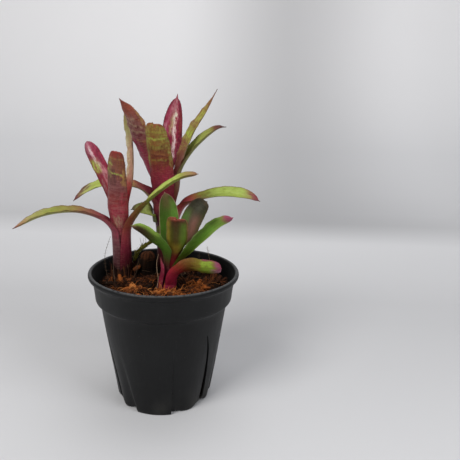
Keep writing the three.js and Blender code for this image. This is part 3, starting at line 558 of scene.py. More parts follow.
def leaf_material(name, look):
    gloss = look["gloss"]
    graph = Graph(f"leaf_{name}", specular_ior_level=0.2, coat_weight=0.3 * gloss * gloss, coat_roughness=0.2)
    along, across, inside = (graph.number(attribute) for attribute in ("along", "across", "inside"))
    flat = graph.vector("flat")
    patch = graph.noise(flat, (0.2, 0.07, 1), 3)
    patch_two = graph.noise(flat, (0.3, 0.11, 3), 3)
    streak = graph.noise(flat, (1.3, 0.045, 1), 3)
    vein = graph.noise(flat, (4.5, 0.03, 2), 1)
    grain = graph.noise(flat, (2.5, 1.6, 1), 3)
    mottle = graph.noise(flat, (0.6, 0.3, 4), 4, 0.62)
    fray = graph.noise(flat, (0.9, 0.26, 5), 4, 0.65)
    tear = look.get("tear", 1)
    loose = 0.4 + 0.6 * tear
    where = graph.sway(graph.sway(graph.sway(along, patch, 0.1 * loose), streak, 0.06), mottle, 0.07 * loose)
    beside = graph.sway(graph.sway(across, patch_two, 0.6 * loose), fray, 0.7 * tear)

    colour = graph.ramp(where, look["stops"])
    code, strength = look["outer"]
    if strength:
        mask = graph.times(graph.step(along, 0.3, 0.5, strength), graph.minus(1.0, inside))
        colour = graph.paint(colour, mask, code)
    torn = graph.math("MAXIMUM", graph.step(fray, 0.36, 0.56), 1 - tear)
    for code, strength, low, high, left, right in look.get("washes", ()):
        mask = graph.window(where, low, high, 0.06 - 0.04 * tear, strength)
        mask = graph.times(mask, graph.window(beside, left, right, 0.3 - 0.21 * tear))
        colour = graph.paint(colour, graph.times(mask, torn), code)
    if "bands" in look:
        code, strength, low, high = look["bands"]
        rows = graph.noise(flat, (0.13, 0.6, 1), 4, 0.66)
        mask = graph.times(graph.step(rows, 0.47, 0.56), graph.window(where, low, high, 0.05, strength))
        colour = graph.paint(colour, mask, code)
    for code, strength, place, slope, left, right in look.get("lines", ()):
        bent = graph.sway(graph.plus(along, graph.times(across, slope)), patch_two, 0.03)
        apart = graph.math("ABSOLUTE", graph.minus(graph.sway(bent, fray, 0.012), place))
        mask = graph.times(graph.step(apart, 0.012, 0.001, strength), graph.window(across, left, right, 0.16))
        colour = graph.paint(colour, graph.times(mask, graph.step(mottle, 0.3, 0.55)), code)
    code, strength, share, low, high = look["margin"]
    edge = graph.math("ABSOLUTE", across)
    mask = graph.times(graph.step(graph.sway(edge, patch, 0.14), 1 - 1.4 * share, 1 - 0.4 * share, strength),
                      graph.window(along, low, high, 0.04))
    colour = graph.paint(colour, mask, code)
    colour = graph.shade(colour, mottle, *look.get("mottle", (0.62, 1.34)))
    colour = graph.shade(colour, streak, 0.8, 1.16)
    colour = graph.shade(colour, vein, 0.88, 1.1)
    code, strength = look.get("scurf", ("ac7c68", 0.24))
    cross = graph.noise(flat, (0.28, 1.9, 6), 3, 0.62)
    scurf = graph.times(graph.step(cross, 0.5, 0.66, strength), graph.step(grain, 0.35, 0.6))
    colour = graph.paint(colour, scurf, code)
    colour = graph.paint(colour, graph.step(edge, 0.93, 1.0, look.get("rim", 0.4)), "2a0f12")

    rough = graph.span(grain, 0.0, 1.0, 0.5 - 0.24 * gloss, 0.66 - 0.24 * gloss)
    height = graph.plus(graph.times(vein, 0.7), graph.times(grain, 0.3))
    return graph.finish(colour, rough, graph.plus(height, graph.times(mottle, 0.8)), 0.3)


# ---- pieces ---------------------------------------------------------------------------------------------
def placed(name, data):
    """A new object in the scene."""
    made = bpy.data.objects.new(name, data)
    bpy.context.scene.collection.objects.link(made)
    return made


def piece(name, vertices, faces, material, replaces=(), numbers=None, vectors=None, corners=30):
    """A mesh object that rides on the part. Numbers and vectors are its attributes, one value a vertex."""
    mesh = bpy.data.meshes.new(name)
    mesh.from_pydata((np.asarray(vertices, float) * MM).tolist(), [], [list(face) for face in faces])
    mesh.polygons.foreach_set("use_smooth", [True] * len(mesh.polygons))
    for kind, item, given in (("FLOAT", "value", numbers), ("FLOAT_VECTOR", "vector", vectors)):
        for attribute, values in (given or {}).items():
            layer = mesh.attributes.new(attribute, kind, "POINT")
            layer.data.foreach_set(item, np.asarray(values, np.float32).ravel())
    mesh.materials.append(material)
    mesh.update()
    mesh.set_sharp_from_angle(angle=math.radians(corners))
    made = placed(name, mesh)
    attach(made, "root")
    if replaces:
        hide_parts(*replaces)
    return made


def polar(radius, angle):
    return radius * math.cos(angle), radius * math.sin(angle)


def grid_faces(rows, columns, closed=False):
    """Quads between rows of points. Closed joins each row's last point to its first."""
    faces = []
    for i in range(rows - 1):
        for j in range(columns if closed else columns - 1):
            k = (j + 1) % columns
            a, b = i * columns, (i + 1) * columns
            faces.append((a + j, a + k, b + k, b + j))
    return faces


def tube_faces(rows, columns):
    """Quads round a closed tube of points, and a cap at each end."""
    last = (rows - 1) * columns
    caps = [tuple(range(columns - 1, -1, -1)), tuple(range(last, last + columns))]
    return grid_faces(rows, columns, closed=True) + caps


# ---- leaves ---------------------------------------------------------------------------------------------
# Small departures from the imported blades, in millimetres: spike is the length of the thin point at the tip,
# notch dips the middle of a blunt end, corner draws out its left corner, roll turns the last stretch outwards
# and wave ripples the margins.
FORMS = {
    "left_right": dict(wave=0.1),
    "left_front": dict(spike=0.5, wave=0.25, roll=0.5),
    "left_inner": dict(spike=0.4, wave=0.3),
    "left_upright": dict(wave=0.3),
    "tall_front": dict(spike=0.4, notch=1.1, corner=5, wave=0.35, roll=0.6),
    "tall_left": dict(spike=1.4, wave=0.4),
    "tall_inner": dict(spike=3, wave=0.3),
    "tall_right_high": dict(spike=5.5, wave=0.4),
    "tall_right_mid": dict(spike=2, wave=0.12),
    "tall_right_low": dict(spike=1.5, wave=0.12),
    "small_front": dict(spike=0.4, roll=1, wave=0.3, notch=0.4, corner=7),
    "small_low": dict(spike=0.4, wave=0.2),
    "small_right_back": dict(spike=0.8, roll=0.8),
}
TOOTH_PITCH = 2.3
TOOTH_LENGTH = 0.5
TOOTH_START = 0.42  # share of a leaf's length below which its margins are smooth
TOOTH_END = 2.5  # the last stretch before the tip, without thorns


def section(row, columns):
    """One closed section of a blade: its outer points, and then its inner ones backwards."""
    across = np.linspace(-1, 1, columns + 1)
    radius = row["half"] / row["bend"]
    lift = row["open"] * radius * (1 - math.cos(row["bend"])) / 2
    thick = lerp(row["thick"], row["margin_thick"], across**2)
    angles = row["bend"] * across
    sides = []
    for sign in (1, -1):
        r = radius + sign * thick / 2
        sides.append(
            row["at"]
            + np.outer(radius - lift - r * np.cos(angles), row["face"])
            + np.outer(r * np.sin(angles), row["side"])
            + np.outer(row.get("push", 0) * across**4 * np.sign(across), row["face"])
            + np.outer(row.get("pull", 0) * np.exp(-((across / 0.3) ** 2)), row["tangent"])
            + np.outer(row.get("corner", 0) * np.clip(-across - 0.55, 0, 1) ** 2, row["tangent"])
        )
    return np.vstack([sides[0], sides[1][::-1]])


def blade_faces(rows, columns):
    """Faces of a closed blade whose sections hold columns + 1 outer points and as many inner ones."""
    half = columns + 1
    count = 2 * half
    faces = grid_faces(rows, count, closed=True)
    last = (rows - 1) * count
    for j in range(half - 1):
        k = count - 1 - j
        faces.append((j, k, k - 1, j + 1))
        faces.append((last + j, last + j + 1, last + k - 1, last + k))
    return faces


def leaf_sections(shoot, leaf, form, seed):
    """The rows of a leaf with all that section() reads."""
    rng = random.Random(seed)
    spike = form.get("spike", 1.0)
    phase, phase_two = rng.uniform(0, 6), rng.uniform(0, 6)
    rows = leaf_frames(shoot, leaf)
    for row in rows:
        body = max(0, row["left"] - spike)
        narrowing = max(0, 1 - body / (leaf["tip"] - spike))
        end = max(0.0, 1 - narrowing**2) ** leaf["round"]
        point = 0.09 * (0.12 + 0.88 * min(1, row["left"] / max(spike, 0.1)))
        row["bend"] = lerp(row["clasp"], math.radians(leaf["curl"]), row["open"])
        row["half"] = lerp(row["clasp"] * row["ring"], leaf["width"] / 2, row["open"]) * max(end, point)
        open_end = row["open"] * smooth(row["free"], 0.1, 0.35)
        ripple = math.sin(row["along"] * 0.55 + phase) + 0.6 * math.sin(row["along"] * 1.05 + phase_two)
        row["push"] = form.get("wave", 0.25) * open_end * ripple * end
        near_end = max(0, 1 - row["left"] / 4)
        row["pull"] = -form.get("notch", 0) * near_end
        row["corner"] = form.get("corner", 0) * near_end
        row["at"] = row["at"] - row["face"] * form.get("roll", 0) * near_end**2
        row["thick"] = lerp(SHEATH_THICK, BLADE_THICK, row["open"] * (1 - row["free"] ** 4))
        row["margin_thick"] = lerp(0.3, MARGIN_THICK, row["open"])
    return rows


def teeth(rows, rings, columns):
    """Tiny thorns on both margins, as points and faces numbered from 0, with each point's row."""
    points, faces, owners = [], [], []
    length = rows[-1]["along"]
    reached = np.array([row["along"] for row in rows])
    for edge, out in ((0, -1), (columns, 1)):
        for along in np.arange(TOOTH_START * length, length - TOOTH_END, TOOTH_PITCH):
            i = int(np.searchsorted(reached, along))
            row = rows[i]
            outer, inner = rings[i][edge], rings[i][2 * columns + 1 - edge]
            middle = (outer + inner) / 2
            away = unit(out * row["side"] + row["face"] * 0.5 * math.sin(row["bend"]))
            first = len(points)
            points.append(middle - row["tangent"] * 0.28 - away * 0.15)
            points.append(middle + row["tangent"] * 0.1 + (outer - inner) * 0.35 - away * 0.15)
            points.append(middle + row["tangent"] * 0.1 - (outer - inner) * 0.35 - away * 0.15)
            points.append(middle + row["tangent"] * 0.34 + away * TOOTH_LENGTH)
            faces += [(first, first + 1, first + 3), (first + 1, first + 2, first + 3),
                      (first + 2, first, first + 3), (first, first + 2, first + 1)]
            owners += [(i, out)] * 4
    return points, faces, owners


def build_leaf(shoot_name, leaf_name, seed):
    name = f"{shoot_name}_{leaf_name}"
    shoot = SHOOTS[shoot_name]
    rows = leaf_sections(shoot, shoot["leaves"][leaf_name], FORMS.get(name, {}), seed)
    rings = [section(row, ACROSS) for row in rows]
    faces = blade_faces(len(rows), ACROSS)
    thorns, thorn_faces, owners = teeth(rows, rings, ACROSS)
    vertices = np.vstack([*rings, thorns])
    shift = len(rings) * len(rings[0])
    faces += [tuple(shift + k for k in face) for face in thorn_faces]

    spread = np.linspace(-1, 1, ACROSS + 1)
    spread = np.concatenate([spread, spread[::-1]])
    inner = np.repeat([0.0, 1.0], ACROSS + 1)
    along = [row["share"] for row in rows for _ in spread] + [rows[i]["share"] for i, _ in owners]
    across = [a for _ in rows for a in spread] + [float(out) for _, out in owners]
    inside = [a for _ in rows for a in inner] + [0.5] * len(owners)
    flat = [(a * row["half"], row["along"], seed + 31 * b) for row in rows for a, b in zip(spread, inner)]
    flat += [(0.0, rows[i]["along"], seed) for i, _ in owners]
    piece(
        f"leaf_{name}", vertices, faces, leaf_material(name, LOOKS[name]),
        replaces=[name],
        numbers=dict(along=along, across=across, inside=inside), vectors=dict(flat=flat), corners=75,
    )


leaf_seed = SEEDS["leaf"]
for shoot_name, shoot in SHOOTS.items():
    for leaf_name in shoot["leaves"]:
        build_leaf(shoot_name, leaf_name, leaf_seed)
        leaf_seed += SEEDS["next_leaf"]


# ---- pot ------------------------------------------------------------------------------------------------
PITCH = 360 / PANELS
POT_COLUMNS = [*np.arange(0, PANEL_END - 20, 2.5), *np.arange(PANEL_END - 20, PANEL_END + RAMP + 1, 1.5),
               *np.arange(82.5, 118, 2.5), 119.5]
LIP_CENTRE = (49.6, 90.1)
LIP_REACH = (1.4, 1.9)
SLOT_FOOT = 3.3
SLOT_REACH = (28, 48)  # radii between which a slot cuts


def wall_radius(height):
    return lerp(FOOT_RADIUS, BODY_TOP[0], height / BODY_TOP[1])


def pot_profile():
    """The pot's outline as (radius, height), from the middle of its underside up and down to its floor."""
    heights = [1.6, 3, 5, 7.5, 10, 14, 18, *range(22, 68, 4), 68.6]
    outside = [(wall_radius(z), z) for z in heights]
    round_foot = [(32.3, 0.01), (32.85, 0.25), (33.1, 0.8)]
    collar = [
        (43.2, 69.7), (43.5, 70.5), (44.2, 71.3), (45.2, 72), (46.05, 72.7), (46.35, 73.3), (46.5, 74.2),
        (46.75, 77), (47.1, 80), (47.5, 83), (47.9, 85.2), (48.2, 86.3), (48.6, 87.1),
    ]
    lip = [
        (LIP_CENTRE[0] + LIP_REACH[0] * math.cos(a), LIP_CENTRE[1] + LIP_REACH[1] * math.sin(a))
        for a in np.radians(np.arange(-75, 166, 15))
    ]
    inside = [(47.5, 89), (46.95, 86.4), (46.4, 82), (45.8, 78), (45.2, 74.2), (44.4, 72.8), (42.4, 71.2),
              (41.9, 70)]
    inside += [(wall_radius(z) - WALL, z) for z in (66, 60, 52, 44, 36, 28, 20, 12, 6, 3)]
    return [(0.01, 0), (12, 0), (22, 0), (28, 0), *round_foot, *outside, *collar, *lip, *inside,
            (30, FLOOR), (20, FLOOR), (0.01, FLOOR)]


def recess(column, height):
    """How deep a panel is, from 0 to 1: deepest at its sharp step, at its slot and at its soft edge."""
    if column < SLOT_ANGLE:
        half = column / SLOT_ANGLE
    else:
        half = (column - SLOT_ANGLE) / (PANEL_END - SLOT_ANGLE)
    end = PANEL_END - PANEL_LEAN * height
    return (0.72 + 0.28 * math.cos(2 * math.pi * half)) * (1 - smooth(column, end, end + RAMP))


def pot_point(panel, column, radius, height):
    angle = math.radians(PANEL_STEP_ANGLE + panel * PITCH + column)
    share = recess(column, height)
    low = share * (1 - smooth(height, 0, PANEL_TOP))
    outward = smooth(radius, 22, FOOT_RADIUS - 2)
    lift = PANEL_LIFT * smooth(share, 0.4, 1) * outward * (1 - smooth(height, 2, 12))
    radius = radius - PANEL_DEPTH * low * outward
    return *polar(radius, angle), height + lift


def black_plastic():
    graph = Graph("black_plastic", specular_ior_level=0.25)
    place = graph.place()
    mould = graph.noise(place, (1.6, 1.6, 1.6), 3, 0.6)
    cloud = graph.noise(place, (0.05, 0.05, 0.035), 4, 0.6)
    scuff = graph.noise(place, (0.5, 0.5, 0.03), 3, 0.7)
    speck = graph.noise(place, (1.1, 1.1, 0.9), 1, 0.4)
    height = graph.node("SeparateXYZ", place).outputs["Z"]
    colour = graph.ramp(cloud, "080809 30, 0c0d0e 55, 131415 80")
    colour = graph.paint(colour, graph.step(scuff, 0.58, 0.75, 0.12), "3a3b3d")
    dust = graph.times(graph.step(cloud, 0.4, 0.7, 0.14), graph.step(height, 22, 0))
    colour = graph.paint(colour, dust, "5a564f")
    colour = graph.paint(colour, graph.step(speck, 0.76, 0.8, 0.25), "6a665f")
    # Painted highlight and wear: the top of the lip is lightened in its scuffed patches.
    rim_wear_and_highlight = graph.times(graph.step(height, 91.1, 91.9, 0.24), graph.step(scuff, 0.25, 0.6))
    colour = graph.paint(colour, rim_wear_and_highlight, "8a8b8e")
    flat = graph.node("VectorMath", place, (1, 1, 0), operation="MULTIPLY").outputs["Vector"]
    radius = graph.node("VectorMath", flat, operation="LENGTH").outputs["Value"]
    # Painted shade: the inside of the collar is made near black and rougher.
    outside = graph.minus(radius, graph.times(height, 0.137))
    inner_wall_shade = graph.times(graph.step(outside, 36.1, 35.7), graph.step(height, 73, 74.5))
    colour = graph.paint(colour, graph.times(inner_wall_shade, 0.75), "030303")
    roughness = graph.span(scuff, 0.2, 0.8, 0.42, 0.56)
    roughness = graph.plus(roughness, graph.times(inner_wall_shade, 0.35))
    bumps = graph.plus(graph.times(mould, 0.25), graph.times(cloud, 1.6))
    return graph.finish(colour, roughness, bumps, 0.07)


def cut_slots(pot):
    """Cuts the drainage slots through the wall: leaning wedges that are widest just above the foot."""
    right = [(lean + half, height) for half, height, lean in SLOT_EDGE]
    left = [(lean - half, height) for half, height, lean in reversed(SLOT_EDGE)]
    wedge = [(0, SLOT_FOOT), *right, *left]
    cutter_mesh = bmesh.new()
    for panel in range(PANELS):
        angle = math.radians(PANEL_STEP_ANGLE + panel * PITCH + SLOT_ANGLE)
        out = Vector((math.cos(angle), math.sin(angle), 0))
        beside = Vector((-out.y, out.x, 0))
        ends = [
            [cutter_mesh.verts.new((out * reach + beside * x + Vector((0, 0, z))) * MM) for x, z in wedge]
            for reach in SLOT_REACH
        ]
        cutter_mesh.faces.new(ends[1])
        cutter_mesh.faces.new(ends[0][::-1])
        for j in range(len(wedge)):
            k = (j + 1) % len(wedge)
            cutter_mesh.faces.new((ends[0][j], ends[0][k], ends[1][k], ends[1][j]))
    bmesh.ops.recalc_face_normals(cutter_mesh, faces=cutter_mesh.faces)
    mesh = bpy.data.meshes.new("slots")
    cutter_mesh.to_mesh(mesh)
    cutter_mesh.free()
    cutter = placed("slots", mesh)
    cut = pot.modifiers.new("slots", "BOOLEAN")
    cut.operation = "DIFFERENCE"
    cut.solver = "EXACT"
    cut.object = cutter
    cut_mesh = bpy.data.meshes.new_from_object(pot.evaluated_get(bpy.context.evaluated_depsgraph_get()))
    pot.modifiers.clear()
    pot.data = cut_mesh
    bpy.data.objects.remove(cutter)


def build_pot():
    profile = pot_profile()
    columns = [(panel, column) for panel in range(PANELS) for column in POT_COLUMNS]
    vertices = [pot_point(panel, column, *point) for point in profile for panel, column in columns]
    faces = tube_faces(len(profile), len(columns))
    pot = piece("pot_shell", vertices, faces, black_plastic(), replaces=["pot"])
    cut_slots(pot)
    pot.data.set_sharp_from_angle(angle=math.radians(30))


build_pot()


# ---- substrate ------------------------------------------------------------------------------------------
SOIL_SIDE = [(0.01, 2.3), (12, 2.3), (19.5, 2.3), (29.4, 4.1), (32, 17), (34.8, 30), (37.4, 45), (40, 60),
             (41.5, 70.9), (44.6, 74.8), (45.1, 78.5)]
SOIL_COLUMNS = 190
SOIL_RINGS = 64
SOIL_REACH = 45.3
HUSK_CENTRE = (-13, 9)
HUSK_HOLE = 6.8
STOLON_HOLE = (-23.4, 13.6, 2.1)  # x, y and radius
CHIP_COUNT = 720
CRUMB_COUNT = 1500
FIBRE_COUNT = 460
CLUMP_FIBRES = 420


def soil_level(x, y):
    mound = 2.2 * math.exp(-((x + 8) ** 2 + (y - 6) ** 2) / 1350)
    bumps = 0.5 * math.sin(x * 0.55 + 1) * math.sin(y * 0.6 + 2)
    return SOIL_LEVEL + mound + bumps - 2.2 * float(smooth(math.hypot(x, y), 33, 45))


def lumps(x, y):
    fine = noise.noise(Vector((x * 0.9, y * 0.9, 3.7)))
    coarse = noise.noise(Vector((x * 0.33, y * 0.33, 9.1)))
    return 0.55 * fine + 0.9 * coarse


def keep_outs():
    """What stands in the substrate, as (x, y, radius) at the level of its upper side."""
    places = []
    for shoot in SHOOTS.values():
        at = axis_point(shoot, SOIL_LEVEL + 1)
        places.append((at[0], at[1], shoot["hole"]))
    return [*places, (*HUSK_CENTRE, HUSK_HOLE), STOLON_HOLE]


KEEP_OUTS = keep_outs()


def soil_top(x, y):
    z = soil_level(x, y) + lumps(x, y)
    for cx, cy, radius in KEEP_OUTS:
        reach = math.hypot(x - cx, y - cy)
        z -= 6 * (1 - float(smooth(reach, radius - 1.2, radius - 0.1)))
    return z


def is_free(x, y, margin):
    return all(math.hypot(x - cx, y - cy) > radius + margin for cx, cy, radius in KEEP_OUTS)


def coir_material(name, stops, rough=(0.75, 0.95), bump_mm=0.5):
    """Brown fibre whose tone attribute picks its colour, with a grain along its local length."""
    graph = Graph(name, specular_ior_level=0.08)
    tone = graph.number("tone")
    local = graph.vector("flat")
    grain = graph.noise(local, (0.35, 3.2, 3.2), 3, 0.6)
    blotch = graph.noise(local, (0.5, 0.5, 0.5), 3, 0.6)
    colour = graph.ramp(graph.sway(tone, blotch, 0.35), stops)
    colour = graph.shade(colour, grain, 0.45, 1.45)
    roughness = graph.span(blotch, 0.3, 0.7, *rough)
    return graph.finish(colour, roughness, graph.plus(grain, graph.times(blotch, 0.6)), bump_mm)


COIR_STOPS = "120a06 0, 26160d 20, 46281a 40, 74401f 58, aa5e2a 78, cc8c50 100"
# Patches of fresh orange coir, as (x, y, half width, half depth, strength).
CLUMPS = [(-18.5, -20.5, 8, 4.5, 1), (4, -23.5, 13, 5, 1), (23, -9, 7, 6, 0.85), (25, -18, 9, 6, 0.8),
          (2, -36, 27, 9, 0.7), (-27, -26, 10, 7, 0.5), (33, 2, 9, 7, 0.42), (30, 22, 8, 7, 0.4),
          (-8, 39, 12, 4, 0.4), (-28, -4, 11, 8, 0.34), (-10, -3, 9, 7, 0.3)]
FRESHEST = 5  # how many of the first clumps hold tufts of short fibre


def freshness(x, y):
    """How fresh and orange the coir is, from 0 for rotted to 1."""
    best = 0.0
    for cx, cy, wide, deep, strength in CLUMPS:
        away = math.hypot((x - cx) / wide, (y - cy) / deep)
        best = max(best, strength * (1 - float(smooth(away, 0.6, 1.15))))
    return best


def tone_at(x, y, rng, spread=0.2):
    brown = 0.16 * noise.noise(Vector((x * 0.16, y * 0.16, 5.5)))
    return min(1, max(0, 0.2 + brown + 0.52 * freshness(x, y) + rng.uniform(-spread, spread)))


def build_bed():
    rng = random.Random(SEEDS["bed"])
    angles = [2 * math.pi * j / SOIL_COLUMNS for j in range(SOIL_COLUMNS)]
    vertices, tones = [], []
    # Painted shade: the sides of the bed, down inside the pot, get a near black tone.
    for radius, height in SOIL_SIDE:
        for angle in angles:
            vertices.append((*polar(radius, angle), height))
            tones.append(0.1)
    for i in range(SOIL_RINGS + 1):
        radius = max(0.01, SOIL_REACH * (1 - i / SOIL_RINGS))
        for angle in angles:
            x, y = polar(radius, angle)
            vertices.append((x, y, soil_top(x, y)))
            tones.append(tone_at(x, y, rng, 0.05) * 0.6)
    faces = tube_faces(len(vertices) // SOIL_COLUMNS, SOIL_COLUMNS)
    piece(
        "coir_bed", vertices, faces, coir_material("coir_bed", COIR_STOPS, bump_mm=0.8),
        replaces=["substrate"], numbers=dict(tone=tones), vectors=dict(flat=vertices), corners=60,
    )


def turned(points, yaw, pitch, roll, at):
    turn = Matrix.Rotation(yaw, 3, "Z") @ Matrix.Rotation(pitch, 3, "Y") @ Matrix.Rotation(roll, 3, "X")
    return np.asarray(points) @ np.array(turn).T + np.asarray(at)


def splinter(rng, length, width, depth, sides=7, rings=5):
    """An irregular chip along X, broken at both ends, as points and faces."""
    points = []
    for i in range(rings):
        share = i / (rings - 1)
        x = length * (share - 0.5)
        full = 0.55 + 0.45 * math.sin(math.pi * min(max(share, 0.12), 0.88))
        shift_y, shift_z = rng.uniform(-0.1, 0.1) * width, rng.uniform(-0.1, 0.1) * depth
        for j in range(sides):
            angle = 2 * math.pi * (j + rng.uniform(-0.25, 0.25)) / sides
            size = full * rng.uniform(0.78, 1.12) / 2
            ragged = rng.uniform(-0.5, 0.5) * length / (rings + 1) * (1.3 if i in (0, rings - 1) else 0.4)
            y = shift_y + width * size * math.cos(angle)
            z = shift_z + depth * size * math.sin(angle)
            points.append((x + ragged, y, z))
    faces = grid_faces(rings, sides, closed=True)
    first, last = len(points), len(points) + 1
    points.append((-length * 0.47, 0, 0))
    points.append((length * 0.47, 0, 0))
    for j in range(sides):
        k = (j + 1) % sides
        faces.append((k, j, first))
        faces.append(((rings - 1) * sides + j, (rings - 1) * sides + k, last))
    return points, faces


class Heap:
    """Many small closed shapes gathered into one mesh."""

    def __init__(self):
        self.points, self.faces, self.tones, self.flats = [], [], [], []

    def add(self, points, faces, tone, local, seed):
        first = len(self.points)
        self.points += [tuple(point) for point in points]
        self.faces += [tuple(first + k for k in face) for face in faces]
        self.tones += [tone] * len(points)
        self.flats += [(x, y + seed, z) for x, y, z in local]

    def piece(self, name, material, slot, replaces=()):
        piece(
            name, self.points, self.faces, material, replaces=replaces,
            numbers=dict(tone=self.tones), vectors=dict(flat=self.flats), corners=45,
        )


def surface(x, y):
    return soil_level(x, y) + lumps(x, y)


def scatter(rng, reach, margin):
    while True:
        radius = reach * math.sqrt(rng.random())
        angle = rng.uniform(0, 2 * math.pi)
        x, y = polar(radius, angle)
        if is_free(x, y, margin):
            return x, y


# Large chips set one by one, as (place, length, width, depth, yaw, pitch, tone).
LARGE_CHIPS = [
    ((-19.6, 4, 90.6), 5.6, 3.8, 3, 0.35, -0.5, 0.5), ((-24.5, 9, 85), 6, 4, 3.5, 1.8, 0.3, 0.36),
    ((-36, -4.4, 83.4), 6, 3.4, 2.8, 1.3, -1.1, 0.48), ((-31, -12, 82.5), 7, 3.6, 2.6, 0.2, 0.5, 0.34),
    ((33, 2, 84), 8, 2.6, 1.8, 1.2, -1.25, 0.46), ((36.5, 6, 83), 8, 3.4, 2.4, 0.6, -0.9, 0.42),
    ((39, -3, 81), 8, 5, 3, 0.9, 0.1, 0.4), ((24, -6, 84.5), 6, 3.2, 3, 0.4, -1.2, 0.66),
    ((-19, -20, 83.4), 8, 2.8, 2, 0.15, -0.12, 0.76), ((-14, -21, 83), 6, 2.2, 1.8, -0.5, 0.2, 0.7),
    ((1, -23.5, 82.6), 8, 2.6, 1.8, 0.1, 0.1, 0.72), ((27, -13, 83), 7, 2.6, 2.2, 0.9, -0.3, 0.64),
    ((10, -22, 83), 6, 2.2, 1.8, -0.3, 0.1, 0.68), ((-12, -1, 84.6), 8, 3.4, 2.6, 2.1, -0.2, 0.4),
    ((17.5, -17, 83), 6, 2.4, 2, -0.4, 0.1, 0.66), ((12, 10, 84.5), 8, 3.4, 2.6, 2.1, -0.2, 0.34),
    ((26, 22, 83), 8, 4.5, 3, 0.7, 0.1, 0.4), ((-33, 22, 83), 8, 4, 3, 2.4, 0.1, 0.36),
    ((6, 42, 81.5), 8, 4, 3, 0.2, 0.1, 0.38), ((-20, -34, 81.5), 9, 4.5, 3, 2.8, 0.1, 0.6),
]


def build_chips():
    rng = random.Random(SEEDS["chips"])
    heap = Heap()
    for k in range(CHIP_COUNT):
        large = rng.random() < 0.3
        length = rng.uniform(4.5, 8.5) if large else rng.uniform(2, 4.6)
        width = length * rng.uniform(0.22, 0.55)
        depth = width * rng.uniform(0.45, 0.85)
        x, y = scatter(rng, 41, 0.35 * length)
        local, faces = splinter(rng, length, width, depth)
        at = (x, y, surface(x, y) + rng.uniform(-0.2, 0.7) * depth)
        points = turned(local, rng.uniform(0, 6.28), rng.gauss(0, 0.42), rng.uniform(-0.8, 0.8), at)
        heap.add(points, faces, tone_at(x, y, rng), local, 13.7 * k)
    for k, (at, length, width, depth, yaw, pitch, tone) in enumerate(LARGE_CHIPS):
        local, faces = splinter(rng, length, width, depth, sides=10, rings=9)
        heap.add(turned(local, yaw, pitch, 0.4, at), faces, tone, local, 17.3 * k)
    heap.piece("coir_chips", coir_material("coir_chips", COIR_STOPS), "coir")


def build_crumbs():
    rng = random.Random(SEEDS["crumbs"])
    heap = Heap()
    for k in range(CRUMB_COUNT):
        size = rng.uniform(0.6, 1.7)
        x, y = scatter(rng, 42, 0.2)
        local, faces = splinter(rng, size * rng.uniform(1, 1.8), size, size * 0.8, sides=5, rings=3)
        at = (x, y, surface(x, y) + rng.uniform(0, 0.9))
        points = turned(local, rng.uniform(0, 6.28), rng.uniform(-0.7, 0.7), rng.uniform(-1, 1), at)
        heap.add(points, faces, 0.85 * tone_at(x, y, rng, 0.3), local, 7.1 * k)
    heap.piece("coir_crumbs", coir_material("coir_crumbs", COIR_STOPS), "coir")


def tube(path, radii, sides=5):
    """A thin closed tube along the path, as points and faces."""
    path = [np.asarray(p, float) for p in path]
    points = []
    across = np.array([0.3, 0.2, 1.0])
    for i, at in enumerate(path):
        run = unit(path[min(i + 1, len(path) - 1)] - path[max(i - 1, 0)])
        across = across - across.dot(run) * run
        if np.linalg.norm(across) < 1e-3:
            across = np.cross(run, (1.0, 0.3, 0.1))
        across = unit(across)
        beside = np.cross(run, across)
        for j in range(sides):
            angle = 2 * math.pi * j / sides
            points.append(at + radii[i] * (math.cos(angle) * across + math.sin(angle) * beside))
    return points, tube_faces(len(path), sides)


def along_tube(path, sides):
    """A place along and round a tube for each of its points."""
    pieces = [np.linalg.norm(np.subtract(b, a)) for a, b in zip(path, path[1:])]
    reached = np.concatenate([[0], np.cumsum(pieces)])
    round_tube = [(0.3 * math.cos(j * 1.3), 0.3 * math.sin(j * 1.3)) for j in range(sides)]
    return [(float(r), *beside) for r in reached for beside in round_tube]


def add_thread(heap, path, thick, tone, seed, sides=5, taper=0.4):
    count = len(path)
    swell = [math.sin(math.pi * (0.12 + 0.76 * i / (count - 1))) for i in range(count)]
    radii = [thick * (taper + (1 - taper) * full) for full in swell]
    points, faces = tube(path, radii, sides)
    heap.add(points, faces, tone, along_tube(path, sides), seed)


# Strands that stand up from the substrate, as (x, y, height, lean to the right, thickness, tone).
UPRIGHTS = [
    (-1, -20, 6.5, 0.6, 0.3, 0.8), (0.6, -20.5, 5, -0.5, 0.22, 0.95), (2.5, -21, 6, 0.3, 0.3, 0.75),
    (4.6, -20.5, 4, 1, 0.2, 0.9), (7, -21, 5, -0.8, 0.25, 0.6), (9.5, -20, 4.5, 0.7, 0.2, 0.85),
    (31.5, 3, 9, 0.6, 0.35, 0.5), (33.4, 5, 8, -0.4, 0.28, 0.58), (35.4, 2, 9, 0.8, 0.22, 0.46),
    (15, -8, 6, 2.2, 0.2, 0.5), (17, -6, 7, 3, 0.18, 0.42), (20, 2, 6, -1, 0.2, 0.4),
    (27, -2, 6, 1.4, 0.2, 0.44),
    (21, 40, 5, 1.6, 0.22, 0.52), (23.5, 41, 4.4, -1.8, 0.2, 0.5), (18.6, 42, 4.5, 1.2, 0.18, 0.5),
    (-34.5, -10, 6, 0.5, 0.2, 0.62), (-32.8, -12, 5, -0.6, 0.24, 0.5), (-36, -13, 4, 0.8, 0.2, 0.4),
    (-24, -4, 9, 0.2, 0.22, 0.4), (-20.4, -2, 8, 0.7, 0.3, 0.36), (-21.8, -5, 6, -0.8, 0.2, 0.5),
    (-9, -13, 5, 1.6, 0.2, 0.6), (-11, -11, 5, -2, 0.22, 0.5), (-7, -15, 6, 2.4, 0.16, 0.7),
]


